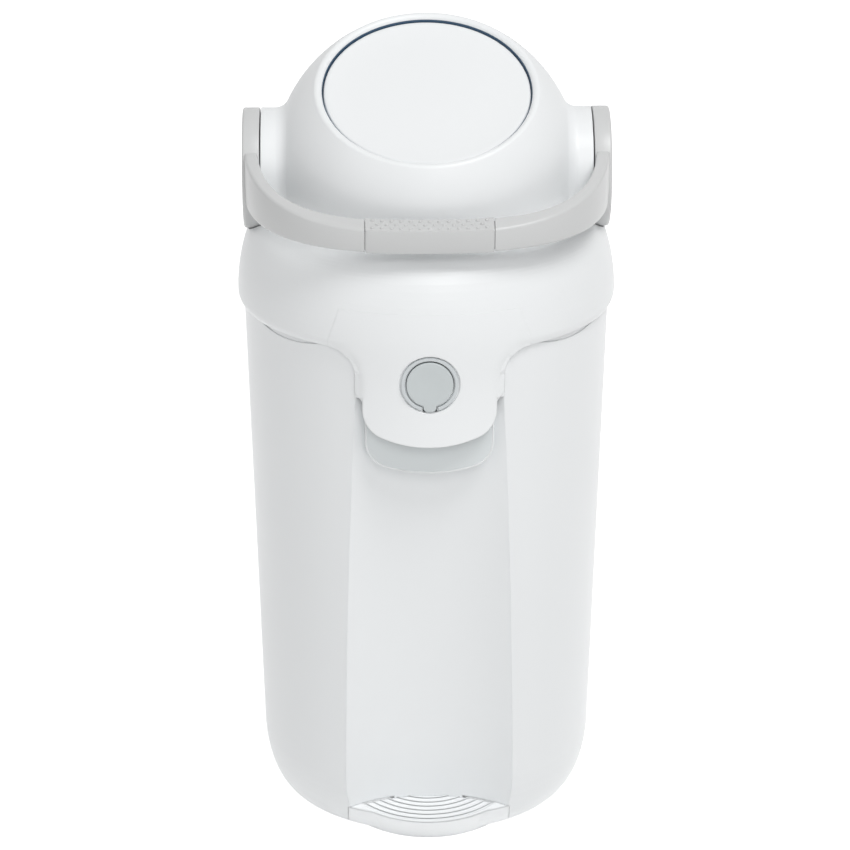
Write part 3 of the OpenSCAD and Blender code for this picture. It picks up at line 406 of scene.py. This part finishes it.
strap = bmesh.new()
ribbon(strap, bow_line(*BOW_OUT), bow_line(*BOW_IN))
round_edges(strap, STRAP_ROUND, STRAP_STEPS, STRAP_SHARP,
            keep=lambda e: min(v.co.y for v in e.verts) < -ARM_ROOT)
for side in (-1, 1):
    for x in (GRIP_HALF + SEAM, GRIP_HALF + SEAM - SEAM_STEP):
        cut(strap, (side * x, 0, 0), (1, 0, 0))
thinner = [v for v in strap.verts if abs(v.co.x) < GRIP_HALF + SEAM - SEAM_STEP / 2]
for v in thinner:
    middle_y = (bow_y(v.co.x, *BOW_OUT) + bow_y(v.co.x, *BOW_IN)) / 2
    v.co = v.co.lerp(Vector((v.co.x, middle_y, strap_lift(-v.co.y))), UNDER_GRIP)
print("strap points drawn in under the grip:", len(thinner))
cut(strap, (0, -ARM_END, 0), (0, 1, 0), clear=True)
bmesh.ops.holes_fill(strap, edges=strap.edges[:])

# %% [markdown]
# ## The side discs
# Each real disc is round and moulded in one with the strap. It is a turned shape, so its profile
# is drawn from the middle outwards and spun round the spindle. The rim's edges are rounded, and
# a hole in the middle takes the cap. A ring of points halfway keeps the flat face looking flat.

# %% Side discs
DISC_R, DISC_IN, DISC_OUT = 49.3, 135.7, 149.8
DISC_ROUND, DISC_ROUND_STEPS = 2.2, 6
DISC_BACK_ROUND, DISC_BACK_STEPS = 0.8, 3
DISC_HALFWAY_R, HUB_R = 30.0, 15.0
CAP_R, CAP_GAP = 14.0, 0.15
HOLE_FLARE, HOLE_FLARE_DEEP, HOLE_DEEP = 0.45, 0.4, 5.0
SPINDLE_STEPS = 120


def arc(centre, radius, start, end, steps):
    turn = [math.radians(start + (end - start) * i / steps) for i in range(steps + 1)]
    return [(centre[0] + radius * math.cos(a), centre[1] + radius * math.sin(a)) for a in turn]


def full_spin(form, points, axis, steps):
    corners, edges = chain(form, points)
    bmesh.ops.spin(form, geom=corners + edges, cent=(0, 0, 0), axis=axis, steps=steps,
                   angle=2 * math.pi, use_merge=True)


def spun_on_spindle(form, profile):
    for side in (1, -1):
        full_spin(form, [(side * x, 0, r) for x, r in profile], (1, 0, 0), SPINDLE_STEPS)


hole_r = CAP_R + CAP_GAP
back_edge = arc((DISC_IN + DISC_BACK_ROUND, DISC_R - DISC_BACK_ROUND), DISC_BACK_ROUND, 180, 90,
                DISC_BACK_STEPS)
front_edge = arc((DISC_OUT - DISC_ROUND, DISC_R - DISC_ROUND), DISC_ROUND, 90, 0, DISC_ROUND_STEPS)
disc = [(DISC_IN, HUB_R), (DISC_IN, DISC_HALFWAY_R)] + back_edge + front_edge
disc += [(DISC_OUT, DISC_HALFWAY_R), (DISC_OUT, hole_r + HOLE_FLARE)]
disc += [(DISC_OUT - HOLE_FLARE_DEEP, hole_r), (DISC_OUT - HOLE_DEEP, hole_r)]
spun_on_spindle(strap, disc)
bin_piece("handle_strap", strap, to_handle, grey_abs, "drum", replaced=["handle_bow"])

# %% [markdown]
# ## The spindle caps
# A push-in cap hides the screw at each end of the spindle. It sits a little below the disc's
# face, and its own edge is broken, so a fine round line shows.
# A plain cylinder would do for its face, but a turned profile also gives it the broken edge and
# the hollow behind for the screw's head.

# %% Spindle caps
CAP_SINK, CAP_EDGE = 0.6, 0.4
CAP_HOLLOW_R, CAP_HOLLOW, CAP_DEEP = 8.0, 2.0, 4.8

# Each point is a depth below the disc's face and a radius.
cap = [(CAP_HOLLOW, 0.0), (CAP_HOLLOW, CAP_HOLLOW_R), (CAP_DEEP, CAP_HOLLOW_R), (CAP_DEEP, CAP_R),
       (CAP_SINK + CAP_EDGE, CAP_R), (CAP_SINK, CAP_R - CAP_EDGE), (CAP_SINK, 0.0)]
caps = bmesh.new()
spun_on_spindle(caps, [(DISC_OUT - depth, r) for depth, r in cap])
bin_piece("spindle_caps", caps, to_handle, grey_abs, "drum", replaced=["handle_caps"])

# %% [markdown]
# ## The soft grip
# The grip is a sleeve moulded over the middle of the strap, with a fine seam at each end.
# It could be swept along the strap, but it has to match the strap's section, so it is the same
# ribbon, cut short.

# %% Grip
GRIP_PLAY = 0.1
GRIP_STEPS = 40
GRIP_END_ROUND, GRIP_END_STEPS, GRIP_END_SHARP = 0.4, 2, 35


def front_line(bow, half):
    return [(x, bow_y(x, *bow)) for x in [half - 2 * half * i / GRIP_STEPS for i in range(GRIP_STEPS + 1)]]


def at_grip_end(e):
    return all(abs(v.co.x) > GRIP_HALF - 2 * GRIP_PLAY for v in e.verts)


def along_grip(e):
    return abs(e.verts[0].co.x - e.verts[1].co.x) > 1.0


grip = bmesh.new()
ribbon(grip, front_line(BOW_OUT, GRIP_HALF - GRIP_PLAY), front_line(BOW_IN, GRIP_HALF - GRIP_PLAY))
round_edges(grip, GRIP_END_ROUND, GRIP_END_STEPS, GRIP_END_SHARP, keep=at_grip_end)
round_edges(grip, STRAP_ROUND, STRAP_STEPS, STRAP_SHARP, keep=along_grip)

# %% [markdown]
# ## The grip's beads
# Small round beads stand in staggered rows on the grip's upper and lower faces, where the
# fingers close round it. The front stays smooth.
# A bump in the material would not show against the edge, so each bead is a real low dome. It has
# fewer than a hundred faces, because there are so many beads.

# %% Beads
BEAD_PITCH, ROW_PITCH, FIRST_ROW, ROWS = 7.5, 4.8, 4.2, 3
BEAD_R, BEAD_H = 1.6, 1.4
BEADS_EACH_WAY, END_MARGIN = 6, 3.5

dome = Matrix.Diagonal((1, 1, BEAD_H / BEAD_R, 1))
beads = 0
for row in range(ROWS):
    for i in range(-BEADS_EACH_WAY, BEADS_EACH_WAY + 1):
        x = (i + row % 2 / 2) * BEAD_PITCH
        if abs(x) > GRIP_HALF - END_MARGIN:
            continue
        y = bow_y(x, *BOW_OUT) + FIRST_ROW + row * ROW_PITCH
        for level in (1, -1):
            place = Matrix.Translation((x, y, strap_lift(-y) + level * strap_height(-y)))
            bmesh.ops.create_icosphere(grip, subdivisions=2, radius=BEAD_R, matrix=place @ dome)
            beads += 1
bin_piece("handle_sleeve", grip, to_handle, grip_tpe, "drum", replaced=["handle_grip"])
print("beads:", beads)

# %% [markdown]
# ## The cup and its liner
# The end of the piston that shows is a shallow cup for the nappy. It sits a little below the
# mouth of the bore, so the liner of the bore shows above it on the far side, its dark blue painted shade of
# the deep bore.
# Both are turned parts, so each one is a closed profile spun round the axis of the bore.

# %% Cup and liner
BORE_R = 84.5
BORE_TILT = math.radians(27.5)
BORE_STEPS = 180
CUP_R, CUP_TOP, CUP_LOW, CUP_WALL = 83.45, 83.8, 63.0, 3.0
CUP_DISH, CUP_DISH_R, DISH_POWER = 1.9, 80, 6
# The rings stand closer together where the dish bends up.
CUP_RINGS = (0.0, 20, 40, 50, 58, 64, 68, 72, 75, 78, CUP_DISH_R)
CUP_EDGE, CUP_EDGE_FROM, CUP_EDGE_STEPS = 1.6, 80, 8
MOUTH_Z, LINER_DEEP = 85.1, 9.0
LINER_IN, LINER_OUT = 0.45, 0.1
LINER_LIP, LINER_LIP_DEEP = 0.25, 0.3
to_bore = Matrix.Translation(PIVOT) @ Matrix.Rotation(BORE_TILT, 4, "X") @ TO_METRES


def turned(name, profile, material, body, replaced=()):
    form = bmesh.new()
    full_spin(form, [(r, 0, z) for r, z in profile], (0, 0, 1), BORE_STEPS)
    bin_piece(name, form, to_bore, material, body, replaced=replaced)


cup_roof = CUP_TOP - CUP_DISH - CUP_WALL
cup = [(r, CUP_TOP - CUP_DISH * (1 - (r / CUP_DISH_R) ** DISH_POWER)) for r in CUP_RINGS]
cup += arc((CUP_R - CUP_EDGE, CUP_TOP - CUP_EDGE), CUP_EDGE, CUP_EDGE_FROM, 0, CUP_EDGE_STEPS)
cup += [(CUP_R, CUP_LOW), (CUP_R - CUP_WALL, CUP_LOW), (CUP_R - CUP_WALL, cup_roof), (0.0, cup_roof)]
turned("piston_cup", cup, white_pp, "piston", ["piston_face_front"])

liner_r = BORE_R - LINER_IN
liner_low = MOUTH_Z - LINER_DEEP
liner = [(liner_r, liner_low), (liner_r, MOUTH_Z - LINER_LIP_DEEP), (liner_r + LINER_LIP, MOUTH_Z),
         (BORE_R + LINER_OUT, MOUTH_Z), (BORE_R + LINER_OUT, liner_low), (liner_r, liner_low)]
# The liner's dark blue is painted shade: it darkens the gap on the far side of the cup.
turned("bore_liner_painted_shade", liner, blue_and_shade_pp, "drum")

# %% [markdown]
# ## The lid's surface at the tongue
# On the real lid the tongue and the bulge above it are one surface: the side rounds over,
# drops almost straight past the button and kicks out at its lower edge. Two cheeks slope back
# to the edges of the hollow, and hollow curves lead out to the lid's rim.
# A surface like that could be sculpted, but a formula for its depth at each place is easier to
# keep true: the radius changes with height, and the cheeks are taken off it.

# %% Tongue's surface
LID_EDGE, WIDEST = 442.6, 450.0
LID_WIDE_R, BULGE_UP_R, BULGE_LOW_R = 156.2, 150.0, 12.0
TONGUE_LOW, TONGUE_WIDE_R = 365.0, 156.25
FALL, FALL_TOP, FALL_LENGTH = 1.7, 452.0, 42.0
KICK, KICK_TOP, KICK_POWER = 3.0, 410.0, 2
PROUD_ABOVE, PROUD_ON_LID = 0.06, 0.12
LID_FROM_X, LID_FADE_X, LID_FROM_Z, LID_FADE_Z = 60.0, 20.0, 428.0, 12.0
FACE_HALF, FACE_FLARE, FLARE_FROM, FLARE_LENGTH, FLARE_POWER = 53.6, 9.6, 418.0, 28.0, 1.5
CHEEK_HALF, CHEEK_SLOPE, CHEEK_TOP, CHEEK_FADE = 60.3, 0.75, 444.0, 14.0
CHEEK_SIDE, CHEEK_SIDE_END = 1.0, 8.0
BUTTON = (0.0, 417.7)


def ease(t):
    t = min(1.0, max(0.0, t))
    return t * t * (3 - 2 * t)


def lid_radius(z):
    bulge_r = BULGE_UP_R if z >= WIDEST else BULGE_LOW_R
    return LID_WIDE_R - bulge_r + math.sqrt(bulge_r ** 2 - (z - WIDEST) ** 2)


def tongue_radius(z):
    fall = FALL * ease((FALL_TOP - z) / FALL_LENGTH)
    kick = KICK * max(0.0, (KICK_TOP - z) / (KICK_TOP - TONGUE_LOW)) ** KICK_POWER
    return TONGUE_WIDE_R - fall + kick


def skin_radius(x, z):
    if z >= WIDEST:
        return lid_radius(z) + PROUD_ABOVE
    out = ease((abs(x) - LID_FROM_X) / LID_FADE_X) * ease((z - LID_FROM_Z) / LID_FADE_Z)
    lid = lid_radius(max(z, LID_EDGE)) + PROUD_ON_LID
    return tongue_radius(z) * (1 - out) + lid * out


def face_half(z):
    return FACE_HALF + FACE_FLARE * (max(0.0, z - FLARE_FROM) / FLARE_LENGTH) ** FLARE_POWER


def skin_y(x, z):
    y = -math.sqrt(skin_radius(x, z) ** 2 - x * x)
    cheek = CHEEK_SLOPE * max(0.0, abs(x) - face_half(z)) * ease((CHEEK_TOP - z) / CHEEK_FADE)
    if abs(x) < CHEEK_HALF + CHEEK_SIDE:
        return y + cheek
    return y + cheek * ease((CHEEK_HALF + CHEEK_SIDE_END - abs(x)) / (CHEEK_SIDE_END - CHEEK_SIDE))


print("skin radius at the widest point, the button and the lower edge:",
      [round(skin_radius(0, z), 2) for z in (WIDEST, BUTTON[1], TONGUE_LOW)])

# %% [markdown]
# ## The tongue's outline
# The lower edge is a broad curve with two tighter corners, like a shield, and the keeper behind
# it has the same shape, so one function draws both. Above it the outline steps out to the
# cheeks, and then a quarter circle leads out to the lid's rim.

# %% Tongue's outline
EDGE_R, CORNER_R = 117.0, 22.0
EDGE_STEPS, CORNER_STEPS, FLARE_STEPS = 24, 16, 18
CHEEK_LOW, CHEEK_STEP_IN, CHEEK_STEP_OUT = 405.7, 3.2, 4.2
FLARE_R = 21.0
SKIN_TOP, SKIN_TOP_OUT, SKIN_SIDE_UP = 476.0, 12.0, 6.0


def shield(half, low):
    centre_z = low + EDGE_R
    corner_x = half - CORNER_R
    corner_z = centre_z - math.sqrt((EDGE_R - CORNER_R) ** 2 - corner_x ** 2)
    turn = math.degrees(math.atan2(corner_z - centre_z, corner_x))
    edge = arc((0.0, centre_z), EDGE_R, -90, turn, EDGE_STEPS)
    return edge[:-1] + arc((corner_x, corner_z), CORNER_R, turn, 0, CORNER_STEPS)


def skin_outline():
    right = shield(FACE_HALF, TONGUE_LOW)
    right += [(FACE_HALF, CHEEK_LOW - CHEEK_STEP_IN), (CHEEK_HALF, CHEEK_LOW - CHEEK_STEP_OUT)]
    right += arc((CHEEK_HALF + FLARE_R, LID_EDGE - FLARE_R), FLARE_R, 180, 90, FLARE_STEPS)
    right += [(CHEEK_HALF + FLARE_R, LID_EDGE + SKIN_SIDE_UP), (CHEEK_HALF + SKIN_TOP_OUT, SKIN_TOP)]
    return right + [(-x, z) for x, z in right[:0:-1]]


print("points in the tongue's outline:", len(skin_outline()))

# %% [markdown]
# ## The tongue's skin
# The skin lies over the solid tongue. Its outline is drawn flat with the hole for the button,
# filled, and cut into a fine grid. Then each point is moved back onto the curved surface.
# The grid makes the surface smooth, and where the skin ends it lies flush on the lid.

# %% Tongue skin
HOLE_R, HOLE_STEPS = 24.1, 64
GRID, GRID_NEAR = 3.0, 0.02
GRID_WIDE, GRID_TALL = (-82, 82), (366, 475)
SKIN_BACK, SKIN_THIN = 152.3, 0.9
SKIN_ROUND, SKIN_ROUND_STEPS, SKIN_SHARP = 0.7, 3, 50
SKIN_TOP_CLEAR, SKIN_BACK_CLEAR = 1.0, 0.4


def grid_cut(form, step, wide, tall):
    for axis, (low, high) in (((1, 0, 0), wide), ((0, 0, 1), tall)):
        for i in range(int((high - low) / step) + 1):
            cut(form, Vector(axis) * (low + i * step), axis, near=GRID_NEAR)


def back_y(x):
    return -math.sqrt(SKIN_BACK ** 2 - x ** 2)


def skin_edge(e):
    below_top = min(v.co.z for v in e.verts) < SKIN_TOP - SKIN_TOP_CLEAR
    return below_top and all(v.co.y < back_y(v.co.x) - SKIN_BACK_CLEAR for v in e.verts)


skin = bmesh.new()
rim = chain(skin, [(x, 0, z) for x, z in skin_outline()], closed=True)[1]
hole = chain(skin, [(x, 0, z) for x, z in arc(BUTTON, HOLE_R, 0, 360, HOLE_STEPS)[:-1]], closed=True)[1]
bmesh.ops.triangle_fill(skin, edges=rim + hole, use_beauty=True, use_dissolve=True, normal=(0, -1, 0))
grid_cut(skin, GRID, GRID_WIDE, GRID_TALL)
front = list(skin.verts)
back = drawn_out(skin, skin.faces[:])
for v in front:
    v.co.y = skin_y(v.co.x, v.co.z)
for v in back:
    v.co.y = max(back_y(v.co.x), skin_y(v.co.x, v.co.z) + SKIN_THIN)
bmesh.ops.recalc_face_normals(skin, faces=skin.faces)
print("tongue grid:", len(front), "points on its face")
round_edges(skin, SKIN_ROUND, SKIN_ROUND_STEPS, SKIN_SHARP, keep=skin_edge)
bin_piece("tongue_skin", skin, TO_METRES, white_pp, "lid")

# %% [markdown]
# ## The push button
# The real button is a round cap with a short tab at its foot, which fills the gap of the ring
# round it. Its face is pressed in a little, so that the thumb finds the middle.
# The outline isn't quite round, so it can't be turned. It is filled, drawn out to its thickness
# and bevelled, and a grid of cuts gives the face points that are pushed in to a shallow dish.
# A small post behind it reaches down to the latch.

# %% Button
BUTTON_FACE, BUTTON_THICK = 155.5, 2.7
BUTTON_R, TAB_HALF, TAB_LOW, TAB_CORNER = 18.8, 5.3, 23.2, 4.2
BUTTON_STEPS, TAB_STEPS = 72, 8
BUTTON_ROUND, PLATE_STEPS, PLATE_SHARP, FACE_NEAR = 0.8, 4, 60, 0.1
BUTTON_GRID, BUTTON_GRID_HALF = 2.0, 20
DISH_R, DISH, FLAT_NEAR = 16.5, 0.7, 0.01
POST_AT, POST_SIZE = (0, -151, 404), (8, 5.4, 4)


def plate(form, outline, y_front, y_back, width):
    edges = chain(form, [(x, y_front, z + BUTTON[1]) for x, z in outline], closed=True)[1]
    face = bmesh.ops.contextual_create(form, geom=edges)["faces"]
    for v in drawn_out(form, face):
        v.co.y = y_back
    bmesh.ops.recalc_face_normals(form, faces=form.faces)
    round_edges(form, width, PLATE_STEPS, PLATE_SHARP,
                keep=lambda e: all(v.co.y < y_front + FACE_NEAR for v in e.verts))


tab_turn = math.degrees(math.asin(TAB_HALF / BUTTON_R))
tab = arc((TAB_HALF - TAB_CORNER, TAB_CORNER - TAB_LOW), TAB_CORNER, 0, -90, TAB_STEPS)
tab += [(-x, z) for x, z in tab[::-1]]
outline = arc((0, 0), BUTTON_R, -90 + tab_turn, 270 - tab_turn, BUTTON_STEPS) + [(-x, z) for x, z in tab]
button = bmesh.new()
plate(button, outline, -BUTTON_FACE, BUTTON_THICK - BUTTON_FACE, BUTTON_ROUND)
grid_cut(button, BUTTON_GRID, (-BUTTON_GRID_HALF, BUTTON_GRID_HALF),
         (BUTTON[1] - BUTTON_GRID_HALF, BUTTON[1] + BUTTON_GRID_HALF))
for v in button.verts:
    r = math.hypot(v.co.x, v.co.z - BUTTON[1])
    if v.co.y < FLAT_NEAR - BUTTON_FACE and r < DISH_R:
        v.co.y += DISH * (1 - (r / DISH_R) ** 2) ** 2
post = Matrix.Translation(POST_AT) @ Matrix.Diagonal((*POST_SIZE, 1))
bmesh.ops.create_cube(button, size=1, matrix=post)
bin_piece("thumb_button", button, TO_METRES, button_abs, "button", replaced=["push_button"])

# %% [markdown]
# ## The button's spring
# A small coil of wire behind the button pushes it back out. It is hidden, but it shows how the
# button works.
# A curve with a round bevel could draw it. A spin that also moves along a little at each step
# makes the whole coil from one circle.

# %% Button's spring
WIRE_R, WIRE_SIDES = 0.6, 12
COIL_R, COIL_TURNS, COIL_STEPS = 4.3, 5, 24
COIL_FRONT, COIL_SEAT, COIL_Z = -152.6, -140.8, 421.7

coil = bmesh.new()
section = arc((COIL_R, COIL_FRONT + WIRE_R), WIRE_R, 0, 360, WIRE_SIDES)[:-1]
corners, edges = chain(coil, [(x, y, COIL_Z) for x, y in section], closed=True)
rise = (COIL_SEAT - COIL_FRONT - 2 * WIRE_R) / (COIL_TURNS * COIL_STEPS)
bmesh.ops.spin(coil, geom=corners + edges, cent=(0, 0, COIL_Z), axis=(0, 1, 0), dvec=(0, rise, 0),
               steps=COIL_TURNS * COIL_STEPS, angle=COIL_TURNS * 2 * math.pi)
bmesh.ops.holes_fill(coil, edges=coil.edges[:])
spring = bin_piece("button_coil", coil, TO_METRES, steel, "lid", replaced=["button_spring"])
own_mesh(spring)

# %% [markdown]
# ## The button's ring
# A C-shaped ring frames the button, and its gap takes the tab. It is almost as high as the
# button. A ring cut from a tube would have square edges, so its two arcs make one outline, which
# is drawn out and rounded like the button's.

# %% Button's ring
RING_OUT_R, RING_IN_R, RING_GAP, RING_STEPS = 22.9, 20.0, 18.0, 72
RING_FACE, RING_BACK, RING_ROUND = 155.1, 152.7, 0.6

ring = bmesh.new()
outer = arc((0, 0), RING_OUT_R, -90 + RING_GAP, 270 - RING_GAP, RING_STEPS)
inner = arc((0, 0), RING_IN_R, 270 - RING_GAP, -90 + RING_GAP, RING_STEPS)
plate(ring, outer + inner, -RING_FACE, -RING_BACK, RING_ROUND)
bin_piece("button_ring", ring, TO_METRES, ring_abs, "lid", replaced=["button_bezel"])

# %% [markdown]
# ## The keeper's rim
# A thin white bead runs round the keeper's edge, where it is set into the hollow.
# A curve with a round bevel could make it. Here a circle is set at each point of the keeper's
# outline, turned along the line, and each pair of circles is bridged.

# %% Keeper's rim
KEEPER_HALF, KEEPER_LOW, KEEPER_TOP, KEEPER_FACE = 51.0, 337.0, 395.0, 139.9
RIM_R, RIM_SIDES = 0.75, 10

right = shield(KEEPER_HALF, KEEPER_LOW) + [(KEEPER_HALF, KEEPER_TOP)]
line = [(-x, z) for x, z in right[:0:-1]] + right
bead = bmesh.new()
loops = []
for i, (x, z) in enumerate(line):
    before, after = Vector(line[max(i - 1, 0)]), Vector(line[min(i + 1, len(line) - 1)])
    along = (after - before).normalized()
    out = Vector((along.y, 0, -along.x))
    basis = Matrix((out, (0, 1, 0), out.cross((0, 1, 0)))).transposed().to_4x4()
    place = Matrix.Translation((x, -KEEPER_FACE, z)) @ basis
    circle = bmesh.ops.create_circle(bead, segments=RIM_SIDES, radius=RIM_R, matrix=place)["verts"]
    loops.append(list({e for v in circle for e in v.link_edges}))
for one, two in zip(loops, loops[1:]):
    bmesh.ops.bridge_loops(bead, edges=one + two)
bmesh.ops.holes_fill(bead, edges=bead.edges[:])
bin_piece("keeper_bead", bead, TO_METRES, white_pp, "bin")

# %% [markdown]
# ## The floor
# The floor is pale and plain, and it keeps the bin's shadow.
# More light would make it white and wash out the bin too. So it glows a little, but only for
# the rays from the camera and from gloss and glass, and the bin isn't lit by it.

# %% Floor
FLOOR_HALF = 6.0
FLOOR_GLOW = 0.9
WHITE_LIGHT = (1, 1, 1, 1)


def seen(tree):
    path = add(tree, "ShaderNodeLightPath")
    first = add(tree, "ShaderNodeMath", {0: path.outputs["Is Camera Ray"], 1: path.outputs["Is Glossy Ray"]},
                operation="MAXIMUM")
    return add(tree, "ShaderNodeMath", {0: first.outputs[0], 1: path.outputs["Is Transmission Ray"]},
               operation="MAXIMUM").outputs[0]


floor_paint = bpy.data.materials.new("floor_paint")
floor_paint.use_nodes = True
tree = floor_paint.node_tree
tree.nodes.clear()
matte = add(tree, "ShaderNodeBsdfDiffuse", Color=linear("#F4F4F4"))
glow = add(tree, "ShaderNodeEmission", Color=WHITE_LIGHT, Strength=FLOOR_GLOW)
both = add(tree, "ShaderNodeAddShader", {0: matte.outputs[0], 1: glow.outputs[0]})
mix = add(tree, "ShaderNodeMixShader", {0: seen(tree), 1: matte.outputs[0], 2: both.outputs[0]})
add(tree, "ShaderNodeOutputMaterial", {"Surface": mix.outputs[0]})

sheet = bmesh.new()
bmesh.ops.create_grid(sheet, x_segments=1, y_segments=1, size=FLOOR_HALF)
floor_mesh = bpy.data.meshes.new("floor")
sheet.to_mesh(floor_mesh)
sheet.free()
floor_mesh.materials.append(floor_paint)
floor = bpy.data.objects.new("floor", floor_mesh)
bpy.context.scene.collection.objects.link(floor)
print("floor half width:", FLOOR_HALF, "m")

# %% [markdown]
# ## The world
# A dim, even world fills the shadows, as the walls of a white studio do.
# Where the camera sees past the floor the background is white, so the same rays as before get a
# brighter world.

# %% World
WORLD_LIGHT, WORLD_SEEN = 0.42, 1.0

world = bpy.data.worlds.new("studio")
bpy.context.scene.world = world
world.use_nodes = True
tree = world.node_tree
tree.nodes.clear()
dim = add(tree, "ShaderNodeBackground", Color=WHITE_LIGHT, Strength=WORLD_LIGHT)
full = add(tree, "ShaderNodeBackground", Color=WHITE_LIGHT, Strength=WORLD_SEEN)
mix = add(tree, "ShaderNodeMixShader", {0: seen(tree), 1: dim.outputs[0], 2: full.outputs[0]})
add(tree, "ShaderNodeOutputWorld", {"Surface": mix.outputs[0]})
print("world's strength for the bin and for the camera:", WORLD_LIGHT, WORLD_SEEN)

# %% [markdown]
# ## The lamps
# A broad lamp above the front right is the main light. A large weak one at the left and a
# softer one at the front lift the shaded side. Round lamps of a metre or more give shadows
# with soft edges.

# %% Lamps
LIT_POINT = Vector((0, 0, 0.35))
# Each lamp's place, the width of its disc in metres, and its power in watts.
LAMPS = {
    "key": ((0.95, -1.25, 2.95), 1.2, 34),
    "fill": ((-2.2, -1.8, 1.4), 2.0, 7),
    "front": ((0.5, -2.75, 2.05), 1.3, 18),
}
for name, (place, width, power) in LAMPS.items():
    light = bpy.data.lights.new(name, "AREA")
    light.shape = "DISK"
    light.size = width
    light.energy = power
    holder = bpy.data.objects.new(name, light)
    bpy.context.scene.collection.objects.link(holder)
    holder.location = place
    holder.rotation_euler = (LIT_POINT - Vector(place)).to_track_quat("-Z", "Y").to_euler()
print("lamps:", len(LAMPS))
